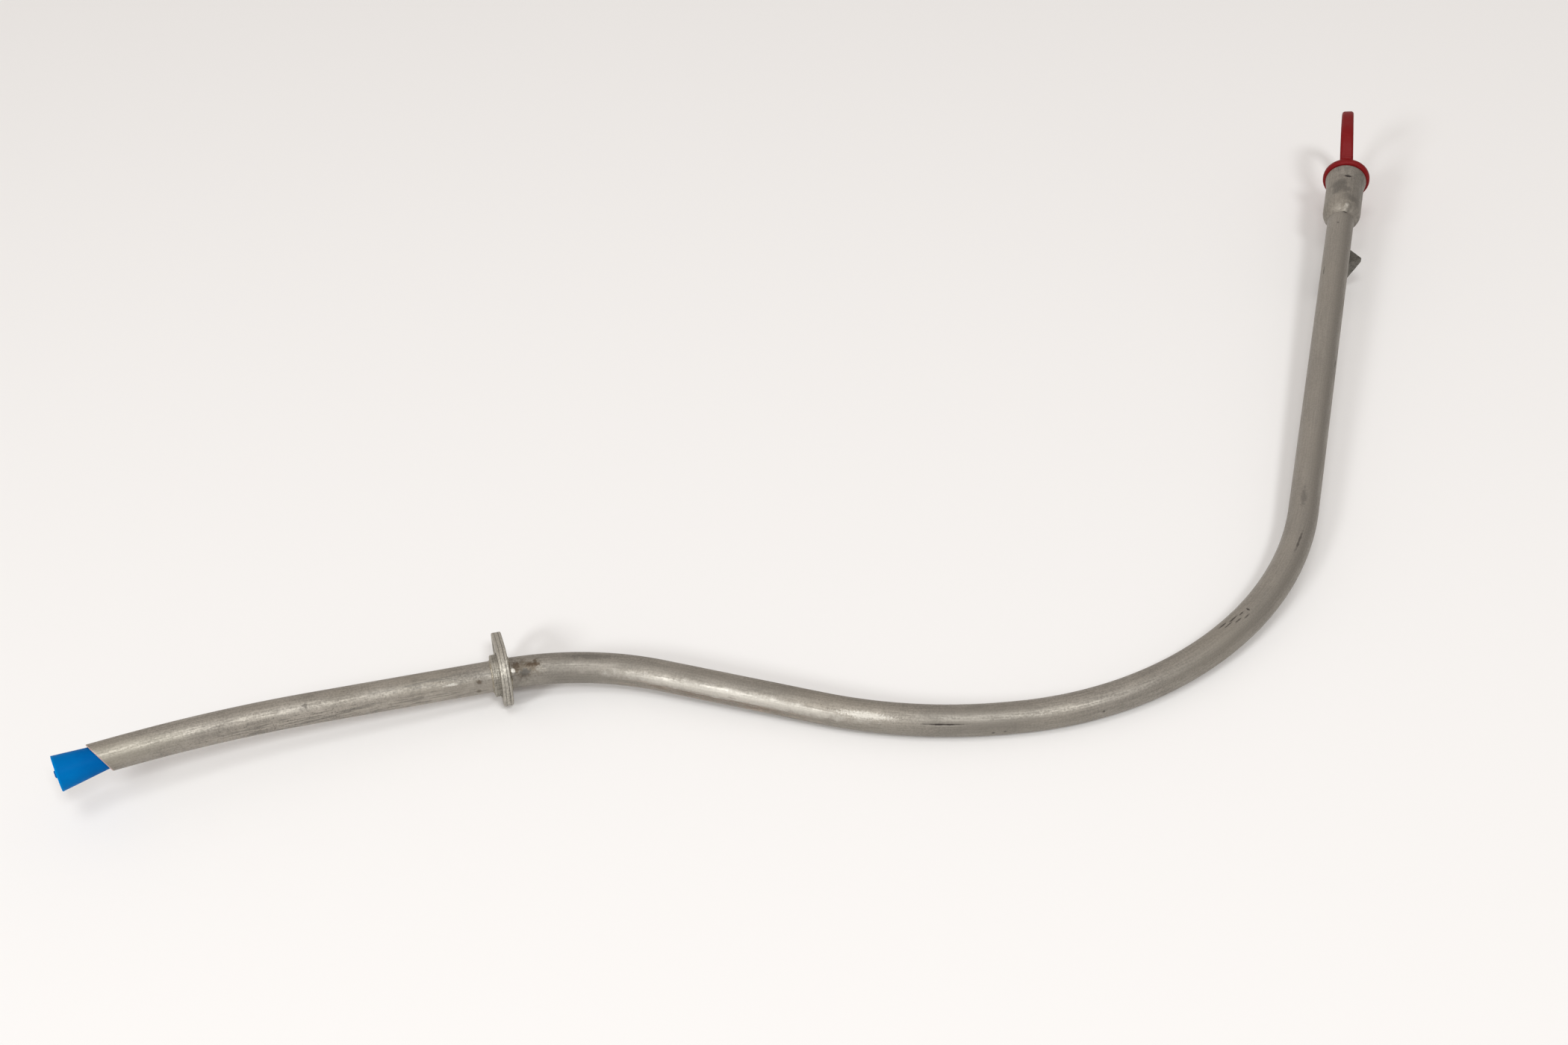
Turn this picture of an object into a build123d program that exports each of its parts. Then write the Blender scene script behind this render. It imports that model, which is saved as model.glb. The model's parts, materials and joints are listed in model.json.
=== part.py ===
from build123d import *
from math import cos, hypot, radians, sin, tan
import os

# Guide tube section and the oblique cut of its lower end
TUBE_OD = 12.7
TUBE_WALL = 0.9
TIP_CUT_ANGLE = 30.0
TIP_CUT_LEAN = 44.0

# Centre line in plan: length and heading of each run between corners, from the lower end to the socket rim
TIP_RUN = 43.7
LOWER_RUN = 148.0
DROP_RUN = 137.7
LEVEL_RUN = 144.9
UPPER_RUN = 347.7
TIP_HEADING = 21.4
LOWER_HEADING = 11.6
DROP_HEADING = -20.75
LEVEL_HEADING = 0.0
UPPER_HEADING = 70.85

# Slopes of the runs that leave the floor, and the bend radius at each corner
TIP_SLOPE = 5.6
LOWER_SLOPE = 4.6
UPPER_SLOPE = 3.16
TIP_BEND_RADIUS = 450.0
FLANGE_BEND_RADIUS = 116.0
ENTRY_BEND_RADIUS = 204.0
KNEE_BEND_RADIUS = 146.0

# Mounting flange: a plate with a round end about the tube and one bolt lobe behind it
FLANGE_TO_BEND = 33.5
FLANGE_RADIUS = 13.0
FLANGE_THICK = 3.9
LOBE_REACH = 14.5
LOBE_RADIUS = 7.4
BOLT_HOLE = 6.6
PLATE_EDGE_ROUND = 0.5
SEAT_RING_OD = 17.2
SEAT_RING_THICK = 2.8
SEAT_RING_CHAMFER = 0.4
SEAT_RELIEF_DEPTH = 0.4
SEAT_RELIEF_WIDTH = 0.7

# Socket cup at the upper end of the tube
SOCKET_LENGTH = 34.5
SOCKET_OD = 18.3
SOCKET_WALL = 1.2
SOCKET_SHOULDER = 6.2
RIM_OD = 20.1
RIM_FLARE = 7.0
SOCKET_BASE = 1.6
TUBE_ENTRY = 3.0
BUMP_RADIUS = 3.0
BUMP_SUNK = 0.45
BUMP_BELOW_RIM = 33.0
BUMP_CLOCK = 12.0

# Stay bracket: a gusset under the tube with a leg folded down to the floor
STAY_BELOW_RIM = 54.7
STAY_TURN = 46.0
STAY_THICK = 2.3
STAY_CORNER_OUT = 12.1
STAY_INNER_EDGE = 3.0
LEG_FOOT_RADIUS = 6.2
LEG_FOOT_OFFSET = 17.1
LEG_HOLE = 6.6
STAY_CORNER_ROUND = 1.0

# Cap: collar, finger loop and spigot in one moulding
COLLAR_OD = 23.1
COLLAR_THICK = 3.6
COLLAR_ROUND = 1.3
LOOP_HALF_LENGTH = 22.8
LOOP_HALF_WIDTH = 19.8
LOOP_BAND = 5.0
LOOP_SINK = 1.5
LOOP_ROOT_THICK = 6.6
LOOP_END_THICK = 5.5
LOOP_ROUND = 1.4
LOOP_LEAN = 2.9
LOOP_CLOCK = 6.0
LOOP_ROOT_ROUND = 1.2
SPIGOT_LENGTH = 24.0
SPIGOT_CHAMFER = 1.0
SEAL_SECTION = 2.6
SEAL_BELOW_RIM = 9.0

# Blade of the dipstick, and the pin that holds it in the spigot
BLADE_WIDTH = 5.0
BLADE_THICK = 0.8
BLADE_GRIP = 14.0
BLADE_SHORT_OF_TIP = 50.0
LEVEL_NOTCH_RADIUS = 1.1
LEVEL_NOTCH_SPACING = 18.0
LEVEL_NOTCH_FROM_END = 12.0
PIN_DIAMETER = 2.4

# Tapered plug in the lower end, set slightly crooked
PLUG_LENGTH = 30.0
PLUG_INSERTED = 10.0
PLUG_HALF_TAPER = 7.0
PLUG_WALL = 1.1
PLUG_LEAN = 4.2
PLUG_TAB = 3.0
PLUG_TAB_PROUD = 1.0

# Clearances
BRAZE_GAP = 0.05
SEAT_GAP = 0.15
SPIGOT_GAP = 0.35
SEAL_GAP = 0.12
GROOVE_GAP = 0.1
SLOT_GAP = 0.1
PIN_GAP = 0.05
PLUG_GAP = 0.55

TUBE_R = TUBE_OD / 2
BORE_R = TUBE_R - TUBE_WALL
SOCKET_R = SOCKET_OD / 2
SPIGOT_R = SOCKET_R - SOCKET_WALL - SPIGOT_GAP
UP = Vector(0, 0, 1)


def direction(heading, slope):
    """Unit vector of a run from its heading in plan and its slope."""
    h, s = radians(heading), radians(slope)
    return Vector(cos(h) * cos(s), sin(h) * cos(s), sin(s))


def step(heading, plan_length, slope):
    """Offset from one corner to the next, from a plan length."""
    return direction(heading, slope) * (plan_length / cos(radians(slope)))


def run_plane(origin, along):
    """Plane across a run: local x is up, y is to the right of the run and z is along it."""
    right = along.cross(UP).normalized()
    return Plane(origin=origin, x_dir=right.cross(along), z_dir=along)


def ring(outer_radius, inner_radius, height):
    """Plain ring that stands on the local origin."""
    return extrude(Circle(outer_radius) - Circle(inner_radius), height)


# Corners of the centre line: the flange's edge and the level run both rest on the floor
flange_axis_height = (
    (FLANGE_RADIUS - PLATE_EDGE_ROUND) * cos(radians(LOWER_SLOPE))
    + (FLANGE_THICK / 2 - PLATE_EDGE_ROUND) * sin(radians(LOWER_SLOPE))
    + PLATE_EDGE_ROUND
)
bend_height = flange_axis_height - FLANGE_TO_BEND * sin(radians(LOWER_SLOPE))
drop_slope = (TUBE_R - bend_height) / DROP_RUN
flange_corner = Vector(0, 0, bend_height)
lower_corner = flange_corner - step(LOWER_HEADING, LOWER_RUN, -LOWER_SLOPE)
tip_point = lower_corner - step(TIP_HEADING, TIP_RUN, -TIP_SLOPE)
entry_corner = flange_corner + Vector(
    DROP_RUN * cos(radians(DROP_HEADING)), DROP_RUN * sin(radians(DROP_HEADING)), drop_slope * DROP_RUN
)
knee_corner = entry_corner + step(LEVEL_HEADING, LEVEL_RUN, 0)
rim_point = knee_corner + step(UPPER_HEADING, UPPER_RUN, UPPER_SLOPE)

tip_out = -direction(TIP_HEADING, -TIP_SLOPE)
lower_along = direction(LOWER_HEADING, -LOWER_SLOPE)
upper_along = direction(UPPER_HEADING, UPPER_SLOPE)
tip_plane = run_plane(tip_point, tip_out)
rim_plane = run_plane(rim_point, upper_along)
flange_plane = run_plane(flange_corner - lower_along * FLANGE_TO_BEND, lower_along)


def centre_line(top, bottom):
    """Runs joined by tangent arcs, from a point on the upper run down to a point on the tip run."""
    corners = [top, knee_corner, entry_corner, flange_corner, lower_corner, bottom]
    radii = [KNEE_BEND_RADIUS, ENTRY_BEND_RADIUS, FLANGE_BEND_RADIUS, TIP_BEND_RADIUS]
    return FilletPolyline(*corners, radius=radii)


def build_guide_tube():
    """Bent tube, cut obliquely at the lower end and square inside the socket."""
    overlap = TUBE_OD * tan(radians(TIP_CUT_ANGLE))
    top = rim_point - upper_along * (SOCKET_LENGTH - SOCKET_BASE - TUBE_ENTRY)
    path = centre_line(top, tip_point + tip_out * overlap)
    section = Plane(origin=path @ 0, z_dir=path % 0) * (Circle(TUBE_R) - Circle(BORE_R))
    tube = sweep(section, path=path)
    lean = radians(TIP_CUT_LEAN)
    long_side = tip_plane.x_dir * cos(lean) + tip_plane.y_dir * sin(lean)
    cut_normal = tip_out - long_side * tan(radians(TIP_CUT_ANGLE))
    return split(tube, bisect_by=Plane(origin=tip_point, z_dir=cut_normal), keep=Keep.BOTTOM)


def build_flange():
    """Plate with its bolt lobe behind the tube, brazed round it and relieved about the seat ring."""
    lobe = Pos(0, -LOBE_REACH) * Circle(LOBE_RADIUS)
    outline = make_hull((Sketch() + Circle(FLANGE_RADIUS) + lobe).edges())
    plate = extrude(outline, FLANGE_THICK / 2, both=True)
    rims = plate.faces().sort_by(Axis.Z)
    plate = fillet(rims[0].edges() + rims[-1].edges(), PLATE_EDGE_ROUND)
    plate -= Cylinder(TUBE_R + BRAZE_GAP, 2 * FLANGE_THICK)
    relief = Cylinder(SEAT_RING_OD / 2 + SEAT_RELIEF_WIDTH, 2 * SEAT_RELIEF_DEPTH)
    plate -= Pos(0, 0, -FLANGE_THICK / 2) * relief
    plate -= Pos(0, -LOBE_REACH) * Cylinder(BOLT_HOLE / 2, 2 * FLANGE_THICK)
    return flange_plane.location * plate


def build_seat_ring():
    """Round seat behind the plate, on the side of the lower end, standing on the floor of the relief."""
    seat = ring(SEAT_RING_OD / 2, TUBE_R + BRAZE_GAP, SEAT_RING_THICK + SEAT_RELIEF_DEPTH)
    far = seat.faces().sort_by(Axis.Z)[0].edges().sort_by(SortBy.LENGTH)[-1]
    seat = chamfer(far, SEAT_RING_CHAMFER)
    return flange_plane.location * Pos(0, 0, -FLANGE_THICK / 2 - SEAT_RING_THICK) * seat


def build_socket():
    """Drawn cup: flared rim, straight body and a round shoulder that closes on the tube."""
    neck = TUBE_R + BRAZE_GAP
    shoulder_top = SOCKET_SHOULDER - SOCKET_LENGTH

    def body_of_revolution(inset, bottom):
        side = SOCKET_R - inset
        rim = RIM_OD / 2 - inset
        outline = Polyline((neck, bottom), (0, bottom), (0, 0), (rim, 0), (side, -RIM_FLARE), (side, shoulder_top))
        shoulder = TangentArc((side, shoulder_top), (neck, bottom), tangent=(0, -1))
        return revolve(Plane.XZ * make_face(Curve() + outline + shoulder), Axis.Z)

    bump_seat = SOCKET_R - BUMP_SUNK - BUMP_RADIUS
    bump = Rot(0, 0, BUMP_CLOCK) * Pos(bump_seat, 0, -BUMP_BELOW_RIM) * Sphere(BUMP_RADIUS)
    cup = body_of_revolution(0, -SOCKET_LENGTH) + bump
    cup -= body_of_revolution(SOCKET_WALL, SOCKET_BASE - SOCKET_LENGTH)
    cup -= Pos(0, 0, -SOCKET_LENGTH) * Cylinder(neck, 4 * SOCKET_BASE)
    return rim_plane.location * cup


def stay_frame():
    """Plane of the gusset's upper face, with x along the fold and its origin at the outer corner."""
    turn = radians(STAY_TURN)
    fold = rim_plane.z_dir * cos(turn) + rim_plane.y_dir * sin(turn)
    corner = rim_plane.from_local_coords((-TUBE_R - BRAZE_GAP, STAY_CORNER_OUT, -STAY_BELOW_RIM))
    return Plane(origin=corner, x_dir=fold, z_dir=rim_plane.x_dir)


def foot_drop(frame):
    """Distance down the leg from the fold to the centre of its round foot, so that the foot meets the floor."""
    tilt = hypot(frame.x_dir.Z, frame.z_dir.Z)
    reach = frame.origin.Z - LEG_FOOT_OFFSET * frame.x_dir.Z - LEG_FOOT_RADIUS * tilt
    return reach / frame.z_dir.Z


def build_stay():
    """Folded bracket: a three-cornered gusset and a leg with a bolt hole in its round foot."""
    frame = stay_frame()
    turn = radians(STAY_TURN)
    across = STAY_CORNER_OUT + STAY_INNER_EDGE
    fold_length = across / sin(turn)
    gusset = make_face(Polyline((0, 0), (-fold_length, 0), (0, across / cos(turn)), close=True))
    gusset = extrude(fillet(gusset.vertices(), STAY_CORNER_ROUND), -STAY_THICK)
    drop = foot_drop(frame)
    foot = Pos(-LEG_FOOT_OFFSET, -drop) * Circle(LEG_FOOT_RADIUS)
    fold_bar = Pos(-fold_length / 2, -STAY_THICK / 2) * Rectangle(fold_length, STAY_THICK)
    outline = make_hull((Sketch() + foot + fold_bar).edges())
    outline -= Pos(-LEG_FOOT_OFFSET, -drop) * Circle(LEG_HOLE / 2)
    leg = Plane.XZ * extrude(outline, -STAY_THICK)
    return frame.location * (gusset + leg)


def loop_location():
    """Place of the finger loop in the rim's frame: on the collar's middle, turned and leaning a little."""
    return Pos(0, 0, SEAT_GAP + COLLAR_THICK / 2) * Rot(LOOP_LEAN, 0, -LOOP_CLOCK)


def build_loop():
    """Finger loop with long straight sides and drafted faces, its foot sunk below the collar's top."""
    centre = COLLAR_THICK / 2 - LOOP_SINK + LOOP_HALF_LENGTH
    band = SlotOverall(2 * LOOP_HALF_LENGTH, 2 * LOOP_HALF_WIDTH, rotation=90)
    band -= SlotOverall(2 * (LOOP_HALF_LENGTH - LOOP_BAND), 2 * (LOOP_HALF_WIDTH - LOOP_BAND), rotation=90)
    loop = extrude(Plane.XZ * Pos(0, centre) * band, LOOP_ROOT_THICK, both=True)
    root, end = LOOP_ROOT_THICK / 2, LOOP_END_THICK / 2
    low, high = centre - LOOP_HALF_LENGTH, centre + LOOP_HALF_LENGTH
    draft = make_face(Polyline((-root, low), (root, low), (end, high), (-end, high), close=True))
    loop &= extrude(Plane.YZ * draft, 2 * LOOP_HALF_WIDTH, both=True)
    return fillet(loop.edges(), LOOP_ROUND)


def build_cap():
    """Collar with its finger loop, and spigot with a seal groove and a blade slot, in one moulding."""
    collar = Pos(0, 0, SEAT_GAP) * extrude(Circle(COLLAR_OD / 2), COLLAR_THICK)
    collar = fillet(collar.edges(), COLLAR_ROUND)
    loop = loop_location() * build_loop()
    head = collar + loop
    head = fillet(new_edges(collar, loop, combined=head), LOOP_ROOT_ROUND)
    spigot = Pos(0, 0, -SPIGOT_LENGTH) * extrude(Circle(SPIGOT_R), SPIGOT_LENGTH + SEAT_GAP)
    spigot = chamfer(spigot.edges().sort_by(Axis.Z)[0], SPIGOT_CHAMFER)
    groove_floor = SPIGOT_R + SPIGOT_GAP - SEAL_GAP - SEAL_SECTION - GROOVE_GAP
    groove = ring(SPIGOT_R + SPIGOT_GAP, groove_floor, SEAL_SECTION + 2 * GROOVE_GAP)
    spigot -= Pos(0, 0, -SEAL_BELOW_RIM - SEAL_SECTION / 2 - GROOVE_GAP) * groove
    slot = Box(BLADE_WIDTH + 2 * SLOT_GAP, BLADE_THICK + 2 * SLOT_GAP, BLADE_GRIP + SLOT_GAP)
    spigot -= Pos(0, 0, -SPIGOT_LENGTH + (BLADE_GRIP + SLOT_GAP) / 2) * slot
    spigot -= Pos(0, 0, -SPIGOT_LENGTH + BLADE_GRIP / 2) * Rot(90, 0, 0) * Cylinder(PIN_DIAMETER / 2, SOCKET_OD)
    return rim_plane.location * (head + spigot)


def build_seal():
    """Rubber ring in the spigot's groove."""
    centre = SPIGOT_R + SPIGOT_GAP - SEAL_GAP - SEAL_SECTION / 2
    return rim_plane.location * Pos(0, 0, -SEAL_BELOW_RIM) * Torus(centre, SEAL_SECTION / 2)


def build_blade():
    """Flat spring-steel blade on edge along the centre line, with two level notches near its lower end."""
    path = centre_line(rim_point - upper_along * (SPIGOT_LENGTH - BLADE_GRIP), tip_point)
    top = Plane(origin=path @ 0, x_dir=rim_plane.x_dir, z_dir=-upper_along)
    blade = sweep(top * Rectangle(BLADE_WIDTH, BLADE_THICK), path=path)
    end = 1 - BLADE_SHORT_OF_TIP / path.length
    blade = split(blade, bisect_by=Plane(origin=path @ end, z_dir=path % end), keep=Keep.BOTTOM)
    for notch in range(2):
        at = end - (LEVEL_NOTCH_FROM_END + notch * LEVEL_NOTCH_SPACING) / path.length
        section = run_plane(path @ at, path % at)
        edge = section.from_local_coords((BLADE_WIDTH / 2, 0, 0))
        blade -= Plane(origin=edge, z_dir=section.y_dir) * Cylinder(LEVEL_NOTCH_RADIUS, 2 * BLADE_WIDTH)
    pin_hole = Pos(0, 0, -SPIGOT_LENGTH + BLADE_GRIP / 2) * Rot(90, 0, 0)
    return blade - rim_plane.location * pin_hole * Cylinder(PIN_DIAMETER / 2, BLADE_WIDTH)


def build_pin():
    """Cross pin through the spigot and the blade, flush with the spigot."""
    pin = Cylinder(PIN_DIAMETER / 2 - PIN_GAP, 2 * (SPIGOT_R - PIN_GAP - SPIGOT_CHAMFER))
    return rim_plane.location * Pos(0, 0, -SPIGOT_LENGTH + BLADE_GRIP / 2) * Rot(90, 0, 0) * pin


def plug_frame():
    """Plane on the plug's axis at the short side of the tube's cut, leaning away from the long side."""
    lean = radians(TIP_CUT_LEAN)
    long_side = tip_plane.x_dir * cos(lean) + tip_plane.y_dir * sin(lean)
    out = tip_out - long_side * tan(radians(PLUG_LEAN))
    short_side = TUBE_R * tan(radians(TIP_CUT_ANGLE))
    return Plane(origin=tip_point - tip_out * short_side, x_dir=long_side, z_dir=out)


def build_plug():
    """Hollow cone closed at its inner end, with a small gate tab on its mouth."""
    outer_end = PLUG_LENGTH - PLUG_INSERTED
    taper = tan(radians(PLUG_HALF_TAPER))
    mouth = BORE_R - PLUG_GAP + outer_end * taper
    nose = mouth - PLUG_LENGTH * taper
    profile = Polyline(
        (0, -PLUG_INSERTED),
        (nose, -PLUG_INSERTED),
        (mouth, outer_end),
        (mouth - PLUG_WALL, outer_end),
        (nose - PLUG_WALL, PLUG_WALL - PLUG_INSERTED),
        (0, PLUG_WALL - PLUG_INSERTED),
        close=True,
    )
    plug = revolve(Plane.XZ * make_face(profile), Axis.Z)
    tab = Box(PLUG_WALL, PLUG_TAB, 2 * PLUG_TAB_PROUD)
    plug += Rot(0, 0, 90) * Pos(mouth - PLUG_WALL / 2, 0, outer_end) * tab
    return plug_frame().location * plug


def main():
    nodes = {
        "guide_tube": build_guide_tube(),
        "mounting_flange": build_flange(),
        "seat_ring": build_seat_ring(),
        "socket_cup": build_socket(),
        "stay_bracket": build_stay(),
        "cap_handle": build_cap(),
        "seal_ring": build_seal(),
        "blade": build_blade(),
        "blade_pin": build_pin(),
        "end_plug": build_plug(),
    }
    box = Compound(children=[Compound(shape.solids()) for shape in nodes.values()]).bounding_box()
    to_origin = Pos(-box.center().X, -box.center().Y, -box.min.Z)
    os.makedirs("parts", exist_ok=True)
    for name, shape in nodes.items():
        export_step(to_origin * shape, f"parts/{name}.step")


main()
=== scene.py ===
"""Looks of an engine oil dipstick in its bent guide tube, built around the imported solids.

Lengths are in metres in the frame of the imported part: +X runs from the plugged lower end towards the knee,
+Y from the knee towards the cap, and +Z up from the floor that the part lies on.
"""

import json
import logging
from dataclasses import dataclass
from enum import Enum
from functools import cached_property, lru_cache, partial, reduce
from typing import Any, Union

import bmesh
import bpy
import numpy as np
from mathutils import Matrix
from numpy.typing import NDArray


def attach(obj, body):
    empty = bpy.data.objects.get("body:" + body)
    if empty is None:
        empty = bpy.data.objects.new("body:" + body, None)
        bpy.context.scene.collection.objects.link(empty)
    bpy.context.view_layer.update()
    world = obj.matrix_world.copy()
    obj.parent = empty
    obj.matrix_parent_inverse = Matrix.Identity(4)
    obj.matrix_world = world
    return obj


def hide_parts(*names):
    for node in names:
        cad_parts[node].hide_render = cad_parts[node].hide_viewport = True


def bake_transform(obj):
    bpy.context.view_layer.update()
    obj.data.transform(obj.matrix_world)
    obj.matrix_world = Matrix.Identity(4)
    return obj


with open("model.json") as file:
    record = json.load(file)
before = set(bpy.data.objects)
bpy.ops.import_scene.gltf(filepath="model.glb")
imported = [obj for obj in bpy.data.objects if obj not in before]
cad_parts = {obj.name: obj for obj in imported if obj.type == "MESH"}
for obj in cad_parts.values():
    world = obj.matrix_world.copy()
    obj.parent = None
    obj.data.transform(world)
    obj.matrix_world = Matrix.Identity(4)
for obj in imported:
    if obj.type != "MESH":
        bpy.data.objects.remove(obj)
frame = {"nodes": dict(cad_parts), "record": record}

LOG = logging.getLogger("dipstick")

Array = NDArray[np.float64]
Colour = tuple[float, float, float]
Triple = tuple[float, float, float]
Pair = tuple[float, float]
Feed = Union[float, int, tuple, bpy.types.NodeSocket]

UP = np.array([0.0, 0.0, 1.0])
TUBE_RADIUS = 0.00635
TUBE_WALL = 0.0009
SOCKET_RADIUS = 0.00915
PLATE_HALF = 0.00195
FLANGE_TO_BEND = 0.0335
DRAWN = "drawn"
SHADE = "shade"

BROWN = (0.075, 0.052, 0.034)
SCORE = (0.030, 0.024, 0.022)
SMUDGE = (0.105, 0.098, 0.088)
STAIN = (0.125, 0.100, 0.072)
# Painted highlights and glints on the tube and on the socket's bump; one patch on the level run is partly
# bare wear.
WEAR_AND_HIGHLIGHT = (0.63, 0.605, 0.555)
# Painted shade: a cooler, darker tone on the tube's lower front side.
COOL_SHADE = (0.270, 0.252, 0.222)
# Painted shade that darkens stretches of the tube and of its highlight.
PAINTED_SHADE = (0.205, 0.190, 0.166)
# Painted highlight, tinted like straw, on the upper side near the lower end.
STRAW_HIGHLIGHT = (0.41, 0.385, 0.32)
TAN = (0.42, 0.345, 0.285)
# Painted reflection of the pale floor on the tube's lower front side.
FLOOR_REFLECTION = (0.43, 0.395, 0.345)
# Painted shading: the upper run and the knee held to one even tone, set to how they are lit.
UPPER_RUN_SHADE = (0.262, 0.242, 0.215)
BARE = (0.56, 0.40, 0.36)


class Body(Enum):
    """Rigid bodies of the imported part."""

    TUBE = "tube"
    DIPSTICK = "dipstick"
    PLUG = "plug"


class Slot(Enum):
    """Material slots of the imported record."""

    ZINC = "zinc_steel"
    DARK = "dark_steel"
    SPRING = "spring_steel"
    BLUE = "blue_plastic"


class Coordinates(Enum):
    """What a finish's pattern is laid out on."""

    OBJECT = "object"
    DRAWN = "drawn"


def unit(vector: Array) -> Array:
    """Vector, or rows of vectors, divided by their lengths."""
    return vector / np.linalg.norm(vector, axis=-1, keepdims=True)


def smoothstep(value: Array) -> Array:
    """Smooth ramp 3t² - 2t³ of a value held between 0 and 1."""
    t = np.clip(value, 0.0, 1.0)
    return t * t * (3.0 - 2.0 * t)


def around(count: int) -> Array:
    """Angles spaced evenly round a full turn, the end left out."""
    return np.linspace(0.0, 2.0 * np.pi, count, endpoint=False)


def turned_away(angle: Array, clock: float) -> Array:
    """Angle from a clock position in degrees, held between -π and π."""
    return np.angle(np.exp(1j * (angle - np.radians(clock))))


def squared(value: Array, power: float) -> Array:
    """Sign of a value times its size to a power below one, which squares a circle off."""
    return np.sign(value) * np.abs(value) ** power


@dataclass(frozen=True)
class Axes:
    """A right-handed local frame: local x, y and z rows, and the origin."""

    origin: Array
    rows: Array

    @classmethod
    def along(cls, origin: Array, direction: Array) -> "Axes":
        """Frame across a run.

        Args:
            origin: Point on the run.
            direction: Unit vector along the run.

        Returns:
            Frame with x up, y to the right of the run and z along it.
        """
        right = unit(np.cross(direction, UP))
        return cls(origin, np.array([np.cross(right, direction), right, direction]))

    def place(self, local: Array) -> Array:
        """Local points moved into the part's frame: origin + x·row0 + y·row1 + z·row2."""
        return self.origin + local @ self.rows

    def slid(self, distance: float) -> "Axes":
        """The same frame moved along its z axis."""
        return Axes(self.origin + distance * self.rows[2], self.rows)


@dataclass(frozen=True)
class Run:
    """Straight stretch between two corners: plan length, heading and slope in degrees."""

    length: float
    heading: float
    slope: float

    @property
    def step(self) -> Array:
        """Offset along the run: its plan length turned to the heading, with the rise of its slope."""
        h = np.radians(self.heading)
        return self.length * np.array([np.cos(h), np.sin(h), np.tan(np.radians(self.slope))])


@dataclass(frozen=True)
class Stretch:
    """Part of the centre line from a start distance on: straight, or an arc that turns to its normal."""

    start: float
    point: Array
    tangent: Array
    normal: Array
    radius: float


@dataclass(frozen=True)
class Route:
    """Centre line of the guide tube, from the socket's rim down to the cut lower end."""

    flange_bend: Array
    tip: Run = Run(0.0437, 21.4, -5.6)
    lower: Run = Run(0.1480, 11.6, -4.6)
    drop_length: float = 0.1377
    drop_heading: float = -20.75
    level: Run = Run(0.1449, 0.0, 0.0)
    upper: Run = Run(0.3477, 70.85, 3.16)
    radii: tuple[float, ...] = (0.146, 0.204, 0.116, 0.450)
    cut_angle: float = 30.0
    cut_lean: float = 44.0

    @property
    def cut_slope(self) -> float:
        """Advance of the oblique cut for each step towards its long side."""
        return float(np.tan(np.radians(self.cut_angle)))

    @cached_property
    def corners(self) -> Array:
        """Corners of the line: each is the one before it plus or less a run's step.

        Returns:
            Rows of points from the rim to the tip.
        """
        heading = np.radians(self.drop_heading)
        fall = TUBE_RADIUS - self.flange_bend[2]
        drop = np.array([self.drop_length * np.cos(heading), self.drop_length * np.sin(heading), fall])
        entry = self.flange_bend + drop
        knee = entry + self.level.step
        lower = self.flange_bend - self.lower.step
        return np.array([knee + self.upper.step, knee, entry, self.flange_bend, lower, lower - self.tip.step])

    @cached_property
    def stretches(self) -> list[Stretch]:
        """Runs and arcs in order: an arc of radius r that turns by a takes r·tan(a/2) off each run.

        Returns:
            Stretches from the rim to the tip, a run first and last.
        """
        found: list[Stretch] = []
        distance, point = 0.0, self.corners[0]
        befores, middles, afters = self.corners, self.corners[1:], self.corners[2:]
        for before, corner, after, radius in zip(befores, middles, afters, self.radii):
            into, out = unit(corner - before), unit(after - corner)
            turn = np.arccos(into @ out)
            touch = corner - into * radius * np.tan(turn / 2)
            found.append(Stretch(distance, point, into, UP, np.inf))
            distance += np.linalg.norm(touch - point)
            found.append(Stretch(distance, touch, into, unit(out - (out @ into) * into), radius))
            distance += radius * turn
            point = corner + out * radius * np.tan(turn / 2)
        found.append(Stretch(distance, point, unit(self.corners[-1] - point), UP, np.inf))
        return found

    @cached_property
    def length(self) -> float:
        """Distance from the rim to the tip along the centre line."""
        last = self.stretches[-1]
        return last.start + float(np.linalg.norm(self.corners[-1] - last.point))

    def at(self, s: Array) -> tuple[Array, Array]:
        """Points and directions of the centre line.

        A run gives point + s·t. An arc of radius r gives point + r·(sin a·t + (1 - cos a)·n), where a = s/r.

        Args:
            s: Distances down from the rim, of any shape; the end runs go on straight past their ends.

        Returns:
            Points and unit directions, with one more axis than s.
        """
        points = np.empty(s.shape + (3,))
        directions = np.empty(s.shape + (3,))
        starts = np.array([stretch.start for stretch in self.stretches[1:]])
        owner = np.searchsorted(starts, s, side="right")
        for index, stretch in enumerate(self.stretches):
            own = owner == index
            reach = (s[own] - stretch.start)[:, None]
            if np.isinf(stretch.radius):
                points[own] = stretch.point + reach * stretch.tangent
                directions[own] = stretch.tangent
                continue
            a = reach / stretch.radius
            points[own] = stretch.point + stretch.radius * (
                np.sin(a) * stretch.tangent + (1.0 - np.cos(a)) * stretch.normal
            )
            directions[own] = np.cos(a) * stretch.tangent + np.sin(a) * stretch.normal
        return points, directions

    def section(self, s: Array, upward: Array, sideways: Array) -> Array:
        """Points of a section: centre + upward·u + sideways·v, with v level and u square to v and the line.

        Args:
            s: Distances down the line.
            upward: Offsets towards the top of the section.
            sideways: Offsets to the side, right of the way down.

        Returns:
            Points in the part's frame.
        """
        centre, direction = self.at(s)
        side = unit(np.cross(direction, UP))
        return centre + upward[..., None] * np.cross(side, direction) + sideways[..., None] * side


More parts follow.
